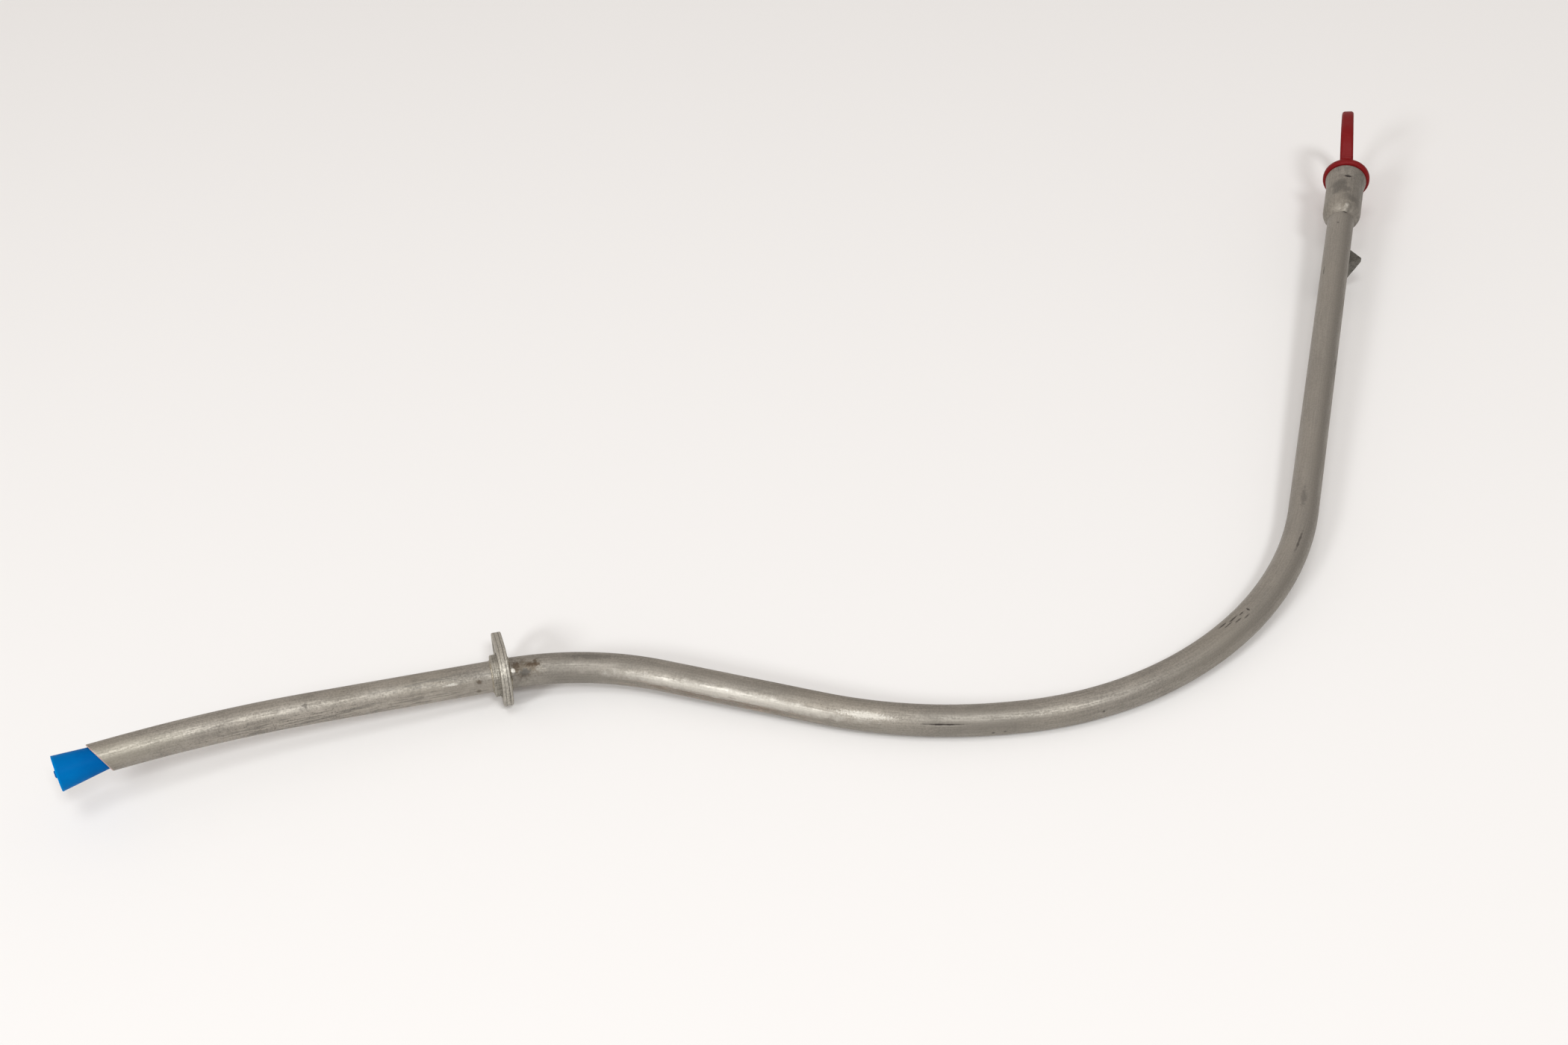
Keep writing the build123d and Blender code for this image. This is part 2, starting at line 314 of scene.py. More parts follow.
def grid_object(
    name: str, points: Array, attributes: dict[str, Array], closed: bool = False
) -> bpy.types.Object:
    """Smooth mesh on a grid of points, closed round its second axis.

    Face (i, j) joins points (i, j), (i, j+1), (i+1, j+1) and (i+1, j). Doubles are merged, so that a ring of
    no radius closes as a pole, and the faces are then turned outwards.

    Args:
        name: Name of the new object.
        points: Grid of points, rows by columns by three.
        attributes: Values or vectors per point, by attribute name.
        closed: Whether the last row joins the first.

    Returns:
        Object at the origin, linked to the scene.
    """
    rows, columns = points.shape[:2]
    i, j = np.meshgrid(np.arange(rows if closed else rows - 1), np.arange(columns), indexing="ij")
    i_next, j_next = (i + 1) % rows, (j + 1) % columns
    corners = [i * columns + j, i * columns + j_next, i_next * columns + j_next, i_next * columns + j]
    faces = np.stack(corners, axis=-1).reshape(-1, 4)
    mesh = bpy.data.meshes.new(name)
    mesh.from_pydata(points.reshape(-1, 3).tolist(), [], faces.tolist())
    for key, values in attributes.items():
        vector = values.ndim == 3
        layer = mesh.attributes.new(key, "FLOAT_VECTOR" if vector else "FLOAT", "POINT")
        layer.data.foreach_set("vector" if vector else "value", values.astype(np.float32).ravel())
    work = bmesh.new()
    work.from_mesh(mesh)
    bmesh.ops.remove_doubles(work, verts=work.verts, dist=1e-7)
    bmesh.ops.recalc_face_normals(work, faces=work.faces)
    work.to_mesh(mesh)
    work.free()
    mesh.polygons.foreach_set("use_smooth", np.ones(len(mesh.polygons), dtype=bool))
    made = bpy.data.objects.new(name, mesh)
    bpy.context.scene.collection.objects.link(made)
    return made


def turned(axes: Axes, profile: Array, columns: int, swell: Array | None = None) -> tuple[Array, Array]:
    """Surface of revolution: (r·cos a, r·sin a, z) about the local z axis.

    Args:
        axes: Local frame of the axis.
        profile: Rows of radius and height.
        columns: Points round the axis.
        swell: Radius added at each row and column.

    Returns:
        Grid of points in the part's frame, and the same grid in the local frame with z first.
    """
    angle = around(columns)
    radius = profile[:, :1] + (0.0 if swell is None else swell)
    radius = np.broadcast_to(radius, (len(profile), columns))
    x, y = radius * np.cos(angle), radius * np.sin(angle)
    z = np.broadcast_to(profile[:, 1:], x.shape)
    return axes.place(np.stack([x, y, z], axis=-1)), np.stack([z, x, y], axis=-1)


def arc(centre: Pair, radius: float, start: float, end: float, count: int) -> Array:
    """Profile rows on a circle: centre + radius·(cos a, sin a), with a from start to end in degrees."""
    a = np.radians(np.linspace(start, end, count))
    return np.stack([centre[0] + radius * np.cos(a), centre[1] + radius * np.sin(a)], axis=-1)


def line(start: Pair, end: Pair, count: int) -> Array:
    """Profile rows spaced evenly from start to end, both included."""
    return np.linspace(start, end, count)


def eased(start: Pair, corner: Pair, end: Pair, count: int) -> Array:
    """Profile rows round a corner: (1-t)²·start + 2t(1-t)·corner + t²·end."""
    t = np.linspace(0.0, 1.0, count)[:, None]
    return (1.0 - t) ** 2 * np.array(start) + 2.0 * t * (1.0 - t) * np.array(corner) + t**2 * np.array(end)


class Wiring:
    """Adds shader nodes to one tree and joins them."""

    def __init__(self, tree: bpy.types.NodeTree) -> None:
        """Starts on a tree."""
        self.tree = tree

    def add(self, kind: str, feeds: dict[Any, Feed] | None = None, **settings: Any) -> bpy.types.Node:
        """New node with its settings, its inputs set to values or linked from sockets.

        Args:
            kind: Type name of the node.
            feeds: Values or sockets by input name or index.
            **settings: Properties of the node.

        Returns:
            The node.
        """
        node = self.tree.nodes.new(kind)
        for key, value in settings.items():
            setattr(node, key, value)
        for key, value in (feeds or {}).items():
            socket = node.inputs[key]
            if isinstance(value, bpy.types.NodeSocket):
                self.tree.links.new(value, socket)
            else:
                socket.default_value = value + (1.0,) if socket.type == "RGBA" else value
        return node

    def math(self, operation: str, first: Feed, second: Feed) -> bpy.types.NodeSocket:
        """Output of a Math node of that operation."""
        return self.add("ShaderNodeMath", {0: first, 1: second}, operation=operation).outputs[0]

    def weighted(self, *parts: tuple[Feed, float]) -> bpy.types.NodeSocket:
        """Sum of values, each times its own weight."""
        terms = [self.math("MULTIPLY", value, weight) for value, weight in parts]
        return reduce(partial(self.math, "ADD"), terms)

    def vector(self, operation: str, first: Feed, second: Feed) -> bpy.types.NodeSocket:
        """Output of a Vector Math node: a value for a length or a dot product, else a vector."""
        node = self.add("ShaderNodeVectorMath", {0: first, 1: second}, operation=operation)
        return node.outputs["Value" if operation in ("LENGTH", "DOT_PRODUCT") else "Vector"]

    def mix(self, share: Feed, first: Feed, second: Feed) -> bpy.types.NodeSocket:
        """Colour between two colours at that share of the second."""
        node = self.add("ShaderNodeMix", {0: share, 6: first, 7: second}, data_type="RGBA")
        return node.outputs[2]

    def ramp(
        self, value: Feed, low: Feed, high: Feed, first: Feed = 0.0, last: Feed = 1.0
    ) -> bpy.types.NodeSocket:
        """Smooth ramp of a value, from first at low to last at high."""
        feeds = {"Value": value, "From Min": low, "From Max": high, "To Min": first, "To Max": last}
        return self.add("ShaderNodeMapRange", feeds, interpolation_type="SMOOTHSTEP").outputs[0]

    def noise(self, vector: Feed, scale: Feed, detail: float, roughness: float) -> bpy.types.NodeSocket:
        """Value of a noise texture."""
        feeds = {"Vector": vector, "Scale": scale, "Detail": detail, "Roughness": roughness}
        return self.add("ShaderNodeTexNoise", feeds).outputs[0]

    def local(self, vector: Feed, axes: Axes) -> bpy.types.NodeSocket:
        """Vector turned and centred into a local frame by a Mapping node: rows·(v - origin).

        Args:
            vector: Vector in the part's frame.
            axes: The local frame.

        Returns:
            The vector in the local frame.
        """
        turn = Matrix(axes.rows.tolist()).to_euler("XYZ")
        feeds = {"Vector": vector, "Location": tuple(-axes.rows @ axes.origin), "Rotation": tuple(turn)}
        return self.add("ShaderNodeMapping", feeds, vector_type="POINT").outputs[0]

    def group(self, tree: bpy.types.NodeTree, feeds: dict[Any, Feed]) -> bpy.types.Node:
        """Node that places a group, with its inputs fed."""
        return self.add("ShaderNodeGroup", feeds, node_tree=tree)


def effect(
    name: str, inputs: dict[str, str], outputs: list[str]
) -> tuple[bpy.types.NodeTree, Wiring, Any, Any]:
    """Empty node group with named sockets.

    Args:
        name: Name of the group.
        inputs: Socket type suffix, such as Float or Vector, by input name.
        outputs: Names of value outputs.

    Returns:
        The tree, its wiring, its input node's outputs and its output node's inputs.
    """
    tree = bpy.data.node_groups.new(name, "ShaderNodeTree")
    for key, kind in inputs.items():
        tree.interface.new_socket(name=key, in_out="INPUT", socket_type=f"NodeSocket{kind}")
    for key in outputs:
        tree.interface.new_socket(name=key, in_out="OUTPUT", socket_type="NodeSocketFloat")
    wiring = Wiring(tree)
    return tree, wiring, wiring.add("NodeGroupInput").outputs, wiring.add("NodeGroupOutput").inputs


@lru_cache(maxsize=None)
def mottle_effect() -> bpy.types.NodeTree:
    """Two noises: broad patches and fine flecks, each at a scale of its own.

    Returns:
        The node group, with outputs Patch and Fleck.
    """
    inputs = {"Vector": "Vector", "Patch": "Float", "Fleck": "Float"}
    tree, w, given, put = effect("mottle", inputs, ["Patch", "Fleck"])
    patch = w.noise(given["Vector"], given["Patch"], 4.0, 0.6)
    fleck = w.noise(given["Vector"], given["Fleck"], 3.0, 0.6)
    tree.links.new(w.ramp(patch, 0.3, 0.7), put["Patch"])
    tree.links.new(w.ramp(fleck, 0.28, 0.72), put["Fleck"])
    return tree


@lru_cache(maxsize=None)
def lines_effect() -> bpy.types.NodeTree:
    """Fine lines: a noise whose coordinates are multiplied by the Stretch vector, axis by axis.

    Returns:
        The node group, with output Lines.
    """
    tree, w, given, put = effect("drawn lines", {"Vector": "Vector", "Stretch": "Vector"}, ["Lines"])
    stretched = w.vector("MULTIPLY", given["Vector"], given["Stretch"])
    tree.links.new(w.ramp(w.noise(stretched, 1.0, 3.0, 0.6), 0.3, 0.7), put["Lines"])
    return tree


@lru_cache(maxsize=None)
def pits_effect() -> bpy.types.NodeTree:
    """Small pits: cells nearer than Size to their centres, kept where a broad noise is high.

    Returns:
        The node group, with output Pits.
    """
    inputs = {"Vector": "Vector", "Scale": "Float", "Size": "Float"}
    tree, w, given, put = effect("pits", inputs, ["Pits"])
    cells = w.add("ShaderNodeTexVoronoi", {"Vector": given["Vector"], "Scale": given["Scale"]})
    near = w.ramp(cells.outputs["Distance"], given["Size"], w.math("MULTIPLY", given["Size"], 0.3))
    where = w.ramp(w.noise(given["Vector"], 160.0, 2.0, 0.5), 0.52, 0.62)
    tree.links.new(w.math("MULTIPLY", near, where), put["Pits"])
    return tree


@lru_cache(maxsize=None)
def mark_effect() -> bpy.types.NodeTree:
    """One ragged mark: an ellipsoid of half sizes Reach about Centre, with its distance shaken by noise.

    Returns:
        The node group, with output Mark.
    """
    inputs = dict.fromkeys(["Vector", "Centre", "Reach"], "Vector") | {"Ragged": "Float", "Grain": "Float"}
    tree, w, given, put = effect("mark", inputs, ["Mark"])
    away = w.vector("DIVIDE", w.vector("SUBTRACT", given["Vector"], given["Centre"]), given["Reach"])
    shaken = w.math("SUBTRACT", w.noise(given["Vector"], given["Grain"], 4.0, 0.65), 0.5)
    shift = w.math("MULTIPLY", shaken, given["Ragged"])
    distance = w.math("ADD", w.vector("LENGTH", away, (0.0, 0.0, 0.0)), shift)
    tree.links.new(w.ramp(distance, 1.0, 0.35), put["Mark"])
    return tree


@dataclass(frozen=True)
class Mark:
    """A stain, score or rub on a surface, or a painted highlight, shade or reflection, placed and sized in
    the finish's coordinates.

    A streaked mark shows only where the lines along the draw are high.
    """

    centre: Triple
    reach: Triple
    colour: Colour
    strength: float = 0.8
    ragged: float = 1.2
    grain: float = 600.0
    depth: float = 0.0
    streaked: bool = False

    @classmethod
    def on_round(
        cls, along: float, radius: float, clock: float, size: Pair, colour: Colour, **rest: Any
    ) -> "Mark":
        """Mark on a round piece that carries drawn coordinates.

        Args:
            along: Place along the piece's axis.
            radius: Radius of the surface.
            clock: Degrees from the top.
            size: Half length along the piece and half width across it.
            colour: Colour of the mark.
            **rest: Strength, ragged, grain, depth or streaked.

        Returns:
            The mark, centred at (along, radius·cos, radius·sin).
        """
        a = np.radians(clock)
        centre = (along, float(radius * np.cos(a)), float(radius * np.sin(a)))
        return cls(centre, (size[0], size[1], size[1]), colour, **rest)

    @classmethod
    def on_tube(cls, down: float, clock: float, size: Pair, colour: Colour, **rest: Any) -> "Mark":
        """Mark on the tube's outside, at a distance down from the socket's rim."""
        return cls.on_round(down, TUBE_RADIUS, clock, size, colour, **rest)

    @classmethod
    def on_socket(cls, below: float, clock: float, size: Pair, colour: Colour, **rest: Any) -> "Mark":
        """Mark on the socket's outside, at a distance below its rim."""
        return cls.on_round(-below, SOCKET_RADIUS, clock, size, colour, **rest)


class Finish:
    """Common part of the finishes: a material with one Principled shader, and the patterns that feed it."""

    name: str
    patch: float
    fleck: float
    stretch: Triple
    coordinates: Coordinates = Coordinates.OBJECT
    place: Axes | None = None

    def start(self) -> tuple[bpy.types.Material, Wiring, bpy.types.Node]:
        """Empty material with one shader, linked to its output.

        Returns:
            The material, its wiring and its shader.
        """
        material = bpy.data.materials.new(self.name)
        material.use_nodes = True
        material.node_tree.nodes.clear()
        wiring = Wiring(material.node_tree)
        shader = wiring.add("ShaderNodeBsdfPrincipled")
        wiring.add("ShaderNodeOutputMaterial", {"Surface": shader.outputs[0]})
        return material, wiring, shader

    @staticmethod
    def feed(w: Wiring, shader: bpy.types.Node, colour: Feed, rough: Feed, height: Feed, bump: Pair) -> None:
        """Links the parts of a pattern to a shader.

        Args:
            w: Wiring of the material.
            shader: Its Principled shader.
            colour: Source of the base colour.
            rough: Source of the roughness.
            height: Source of the bump's height.
            bump: Strength and distance of the bump.
        """
        made = w.add("ShaderNodeBump", {"Strength": bump[0], "Distance": bump[1], "Height": height})
        w.tree.links.new(colour, shader.inputs["Base Color"])
        w.tree.links.new(rough, shader.inputs["Roughness"])
        w.tree.links.new(made.outputs[0], shader.inputs["Normal"])

    def pattern(self, w: Wiring) -> bpy.types.NodeSocket:
        """Coordinates that the pattern is laid out on.

        Args:
            w: Wiring of the material.

        Returns:
            The drawn coordinates, or the object's own, taken into the finish's frame if it has one.
        """
        if self.coordinates is Coordinates.DRAWN:
            return w.add("ShaderNodeAttribute", attribute_name=DRAWN).outputs["Vector"]
        where = w.add("ShaderNodeTexCoord").outputs["Object"]
        return where if self.place is None else w.local(where, self.place)

    def mottle(self, w: Wiring, where: Feed) -> Any:
        """Outputs of the patches and flecks at the finish's own scales."""
        return w.group(mottle_effect(), {"Vector": where, "Patch": self.patch, "Fleck": self.fleck}).outputs

    def lines(self, w: Wiring, where: Feed) -> bpy.types.NodeSocket:
        """Lines at the finish's own stretch."""
        return w.group(lines_effect(), {"Vector": where, "Stretch": self.stretch}).outputs["Lines"]

    def material(self) -> bpy.types.Material:
        """The finish's material."""
        raise NotImplementedError


@dataclass(frozen=True)
class ZincPlate(Finish):
    """Dull zinc plate on drawn steel: patches, flecks, lines along the draw, pits, stains and scores, with
    painted highlights, shade and reflections among its marks.
    """

    name: str
    coordinates: Coordinates = Coordinates.OBJECT
    place: Axes | None = None
    light: Colour = (0.365, 0.338, 0.296)
    dark: Colour = (0.170, 0.156, 0.137)
    warm: Colour = (0.29, 0.262, 0.216)
    soot: Colour = (0.045, 0.040, 0.034)
    shade: Colour | None = None
    metallic: float = 0.8
    roughness: Pair = (0.45, 0.64)
    patch: float = 42.0
    fleck: float = 1250.0
    stretch: Triple = (85.0, 1700.0, 1700.0)
    weights: Triple = (0.28, 0.38, 0.34)
    warm_scale: float = 17.0
    warm_share: float = 0.45
    pit_scale: float = 620.0
    pit_size: float = 0.2
    pit_dark: float = 0.55
    bump: Pair = (0.22, 0.0002)
    marks: tuple[Mark, ...] = ()

    def marked(self, w: Wiring, where: Feed, lines: Feed, colour: Feed, height: Feed) -> tuple[Feed, Feed]:
        """Lays the marks over a surface, one after another.

        Args:
            w: Wiring of the material.
            where: Coordinates of the pattern.
            lines: Lines along the draw, which break up a streaked mark.
            colour: Colour under the marks.
            height: Height under the marks.

        Returns:
            Colour and height with the marks.
        """
        for mark in self.marks:
            feeds = {"Vector": where, "Centre": mark.centre, "Reach": mark.reach}
            feeds |= {"Ragged": mark.ragged, "Grain": mark.grain}
            shown = w.group(mark_effect(), feeds).outputs["Mark"]
            if mark.streaked:
                shown = w.math("MULTIPLY", shown, w.ramp(lines, 0.3, 0.8))
            colour = w.mix(w.math("MULTIPLY", shown, mark.strength), colour, mark.colour)
            if mark.depth:
                height = w.math("SUBTRACT", height, w.math("MULTIPLY", shown, mark.depth))
        return colour, height

    def material(self) -> bpy.types.Material:
        """Tone from patches, flecks and lines, darkened by pits and changed by marks, some of them painted
        light and shade, with the same set as bump.

        Returns:
            The plate's material.
        """
        material, w, shader = self.start()
        where = self.pattern(w)
        mottle = self.mottle(w, where)
        lines = self.lines(w, where)
        feeds = {"Vector": where, "Scale": self.pit_scale, "Size": self.pit_size}
        pits = w.group(pits_effect(), feeds).outputs["Pits"]
        tone = w.weighted(*zip((mottle["Patch"], mottle["Fleck"], lines), self.weights))
        colour = w.mix(tone, self.dark, self.light)
        broad = w.ramp(w.noise(where, self.warm_scale, 2.0, 0.5), 0.4, 0.7, 0.0, self.warm_share)
        colour = w.mix(broad, colour, self.warm)
        colour = w.mix(w.math("MULTIPLY", pits, self.pit_dark), colour, self.soot)
        height = w.math("SUBTRACT", w.math("MULTIPLY", tone, 0.5), pits)
        colour, height = self.marked(w, where, lines, colour, height)
        if self.shade is not None:
            shaded = w.add("ShaderNodeAttribute", attribute_name=SHADE).outputs["Fac"]
            colour = w.mix(shaded, colour, self.shade)
        rough = w.ramp(tone, 0.2, 0.8, self.roughness[1], self.roughness[0])
        shader.inputs["Metallic"].default_value = self.metallic
        self.feed(w, shader, colour, rough, height, self.bump)
        return material


@dataclass(frozen=True)
class MouldedPlastic(Finish):
    """Moulded plastic: one colour with faint flow marks, a fine grain and scuffs that turn it paler."""

    name: str
    colour: Colour
    scuffed: Colour
    roughness: Pair
    scuff: float = 0.35
    specular: float = 0.4
    patch: float = 90.0
    fleck: float = 1400.0
    stretch: Triple = (180.0, 160.0, 2600.0)
    bump: Pair = (0.12, 0.0001)

    def material(self) -> bpy.types.Material:
        """Colour with paler scuffs where patches and lines meet, and a fine bump.

        Returns:
            The plastic's material.
        """
        material, w, shader = self.start()
        where = self.pattern(w)
        mottle = self.mottle(w, where)
        lines = self.lines(w, where)
        worn = w.math("MULTIPLY", w.ramp(mottle["Patch"], 0.3, 0.95), w.ramp(lines, 0.35, 0.9))
        colour = w.mix(w.math("MULTIPLY", worn, self.scuff), self.colour, self.scuffed)
        rough = w.ramp(mottle["Fleck"], 0.0, 1.0, *self.roughness)
        shader.inputs["Specular IOR Level"].default_value = self.specular
        self.feed(w, shader, colour, rough, mottle["Fleck"], self.bump)
        return material


@dataclass(frozen=True)
class SoftPlug(Finish):
    """Soft clear-blue plastic that glows where its wall is thin: at the lip and along the open cone."""

    name: str
    colour: Colour = (0.0, 0.092, 0.325)
    lip: Colour = (0.0, 0.235, 0.62)
    roughness: Pair = (0.34, 0.5)
    specular: float = 0.02
    patch: float = 160.0
    fleck: float = 1100.0
    flow: float = 0.1
    bleed: float = 0.12
    bleed_radius: Triple = (0.0005, 0.002, 0.004)
    bump: Pair = (0.08, 0.0001)

    def material(self) -> bpy.types.Material:
        """Colour that turns paler with the piece's own shade value, over faint flow marks.

        Returns:
            The plug's material.
        """
        material, w, shader = self.start()
        where = self.pattern(w)
        mottle = self.mottle(w, where)
        shade = w.add("ShaderNodeAttribute", attribute_name=SHADE).outputs["Fac"]
        pale = w.math("ADD", shade, w.math("MULTIPLY", mottle["Patch"], self.flow))
        rough = w.ramp(mottle["Fleck"], 0.0, 1.0, *self.roughness)
        shader.inputs["Specular IOR Level"].default_value = self.specular
        shader.inputs["Subsurface Weight"].default_value = self.bleed
        shader.inputs["Subsurface Radius"].default_value = self.bleed_radius
        self.feed(w, shader, w.mix(pale, self.colour, self.lip), rough, mottle["Patch"], self.bump)
        return material


@dataclass(frozen=True)
class RolledSteel(Finish):
    """Bright rolled strip: fine lines along the strip and a faint oil tint."""

    name: str
    coordinates: Coordinates = Coordinates.DRAWN
    light: Colour = (0.62, 0.61, 0.59)
    dark: Colour = (0.42, 0.40, 0.37)
    roughness: Pair = (0.34, 0.22)
    patch: float = 30.0
    fleck: float = 700.0
    stretch: Triple = (15.0, 2400.0, 2400.0)
    weights: Pair = (0.6, 0.4)
    bump: Pair = (0.1, 0.0001)

    def material(self) -> bpy.types.Material:
        """Colour and roughness from the rolling lines and broad patches.

        Returns:
            The strip's material.
        """
        material, w, shader = self.start()
        where = self.pattern(w)
        lines = self.lines(w, where)
        mottle = self.mottle(w, where)
        tone = w.weighted(*zip((lines, mottle["Patch"]), self.weights))
        rough = w.ramp(tone, 0.0, 1.0, *self.roughness)
        shader.inputs["Metallic"].default_value = 1.0
        self.feed(w, shader, w.mix(tone, self.dark, self.light), rough, lines, self.bump)
        return material


def dress_node(node: str, finish: Finish) -> None:
    """Gives a CAD node its finish.

    Args:
        node: Name of the node.
        finish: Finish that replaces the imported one.
    """
    shown = frame["nodes"][node]
    shown.data.materials.clear()
    shown.data.materials.append(finish.material())
    LOG.info("dressed %s as %s", node, finish.name)


def settle(
    piece: bpy.types.Object, finish: bpy.types.Material, body: Body, slot: Slot, *nodes: str
) -> None:
    """Finishes a new piece: its material, the body that carries it, its slot and the nodes it stands for.

    Args:
        piece: The new object.
        finish: Its material.
        body: Body that carries it.
        slot: Not used.
        *nodes: CAD nodes that it replaces.
    """
    piece.data.materials.append(finish)
    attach(piece, body.value)
    if nodes:
        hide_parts(*nodes)
    LOG.info("built %s with %d faces on %s", piece.name, len(piece.data.polygons), body.value)


@dataclass
class GuideTube:
    """Bent tube with an oblique lower end, skinned along the route, with the dents that it has taken."""

    route: Route
    top: float = 0.0299
    radius: float = TUBE_RADIUS - 0.000006
    cut_zone: float = 0.015
    zone_rows: int = 14
    outer_round: float = 0.00045
    inner_round: float = 0.0002
    round_rows: int = 5
    spacing: float = 0.0013
    bore_stride: int = 6
    columns: int = 96
    gouge_middle: float = 0.4527
    gouge_half: float = 0.0105
    gouge_clock: float = 303.0
    gouge_depth: float = 0.00016
    gouge_width: float = 0.0005
    ripples: int = 3
    ripple_span: Pair = (0.2365, 0.2485)
    ripple_clock: float = 6.0
    ripple_depth: float = 0.00012
    ripple_width: float = 0.002

    def rings(self) -> tuple[Array, Array, Array]:
        """Radius and distance of each ring, out along the outside, round the lip and back along the bore.

        Near the lower end the distance turns with the angle a as r·tan(cut)·cos(a - lean): a flat cut.

        Returns:
            Radii as a column, distances by ring and angle, and the share of bare lip as a column.
        """
        angle = around(self.columns)
        skew = self.route.cut_slope * np.cos(angle - np.radians(self.route.cut_lean))
        inside = self.radius - TUBE_WALL
        start = self.route.length - self.cut_zone
        share = np.linspace(0.0, 1.0, self.zone_rows)
        body = np.linspace(self.top, start, int((start - self.top) / self.spacing))
        turn = np.radians(np.linspace(0.0, 90.0, self.round_rows))
        outer = self.outer_round * np.stack([np.cos(turn) - 1.0, np.sin(turn) - 1.0])
        inner = self.inner_round * np.stack([1.0 - np.sin(turn), np.cos(turn) - 1.0])
        lip_radius = np.concatenate([self.radius + outer[0], inside + inner[0]])
        lip_depth = np.concatenate([outer[1], inner[1]])
        lip = self.route.length + lip_radius[:, None] * skew + lip_depth[:, None]
        outside_zone = start + share[1:-1, None] * (lip[:1] - start)
        inside_zone = lip[-1:] + share[1:, None] * (start - lip[-1:])
        level = body[:, None] * np.ones_like(angle)
        back = level[:: -self.bore_stride]
        distance = np.concatenate([level, outside_zone, lip, inside_zone, back])
        before, after = len(body) + len(outside_zone), len(inside_zone) + len(back)
        radius = np.concatenate([np.full(before, self.radius), lip_radius, np.full(after, inside)])
        bare = np.concatenate([np.zeros(before + 1), np.ones(len(lip) - 1), np.zeros(after)])
        return radius[:, None], distance, bare[:, None]

    def across(self, angle: Array, clock: float, half: float) -> Array:
        """Falloff exp(-w²) of the way w round the tube from a clock position, in half widths."""
        return np.exp(-((self.radius * turned_away(angle, clock) / half) ** 2))

    def dents(self, distance: Array, angle: Array) -> Array:
        """Radius lost to the gouge on the bend beside the level run and to the ripples above the knee.

        The gouge is depth·(1 - t²) along its length and exp(-w²) across it. The n ripples are
        depth·sin²(nπt) along the tube and exp(-w²) across it.

        Args:
            distance: Distances down the route, by ring and angle.
            angle: Angles from the top.

        Returns:
            Lost radius by ring and angle.
        """
        t = (distance - self.gouge_middle) / self.gouge_half
        along = self.gouge_depth * np.clip(1.0 - t**2, 0.0, 1.0)
        gouge = along * self.across(angle, self.gouge_clock, self.gouge_width)
        t = np.clip((distance - self.ripple_span[0]) / np.ptp(self.ripple_span), 0.0, 1.0)
        along = self.ripple_depth * np.sin(self.ripples * np.pi * t) ** 2
        return gouge + along * self.across(angle, self.ripple_clock, self.ripple_width)

    def build(self, finish: Finish) -> None:
        """Skin of the tube: a ring of radius r at distance s gives centre(s) + r·(cos a·up + sin a·side).

        Args:
            finish: Finish of the tube.
        """
        radius, distance, bare = self.rings()
        angle = around(self.columns)
        radius = radius - self.dents(distance, angle) * (radius == self.radius)
        upward, sideways = radius * np.cos(angle), radius * np.sin(angle)
        points = self.route.section(distance, upward, sideways)
        drawn = np.stack([distance, upward, sideways], axis=-1)
        bare = np.broadcast_to(bare, distance.shape)
        skin = grid_object("tube_skin", points, {DRAWN: drawn, SHADE: bare}, closed=True)
        settle(skin, finish.material(), Body.TUBE, Slot.ZINC, "guide_tube")


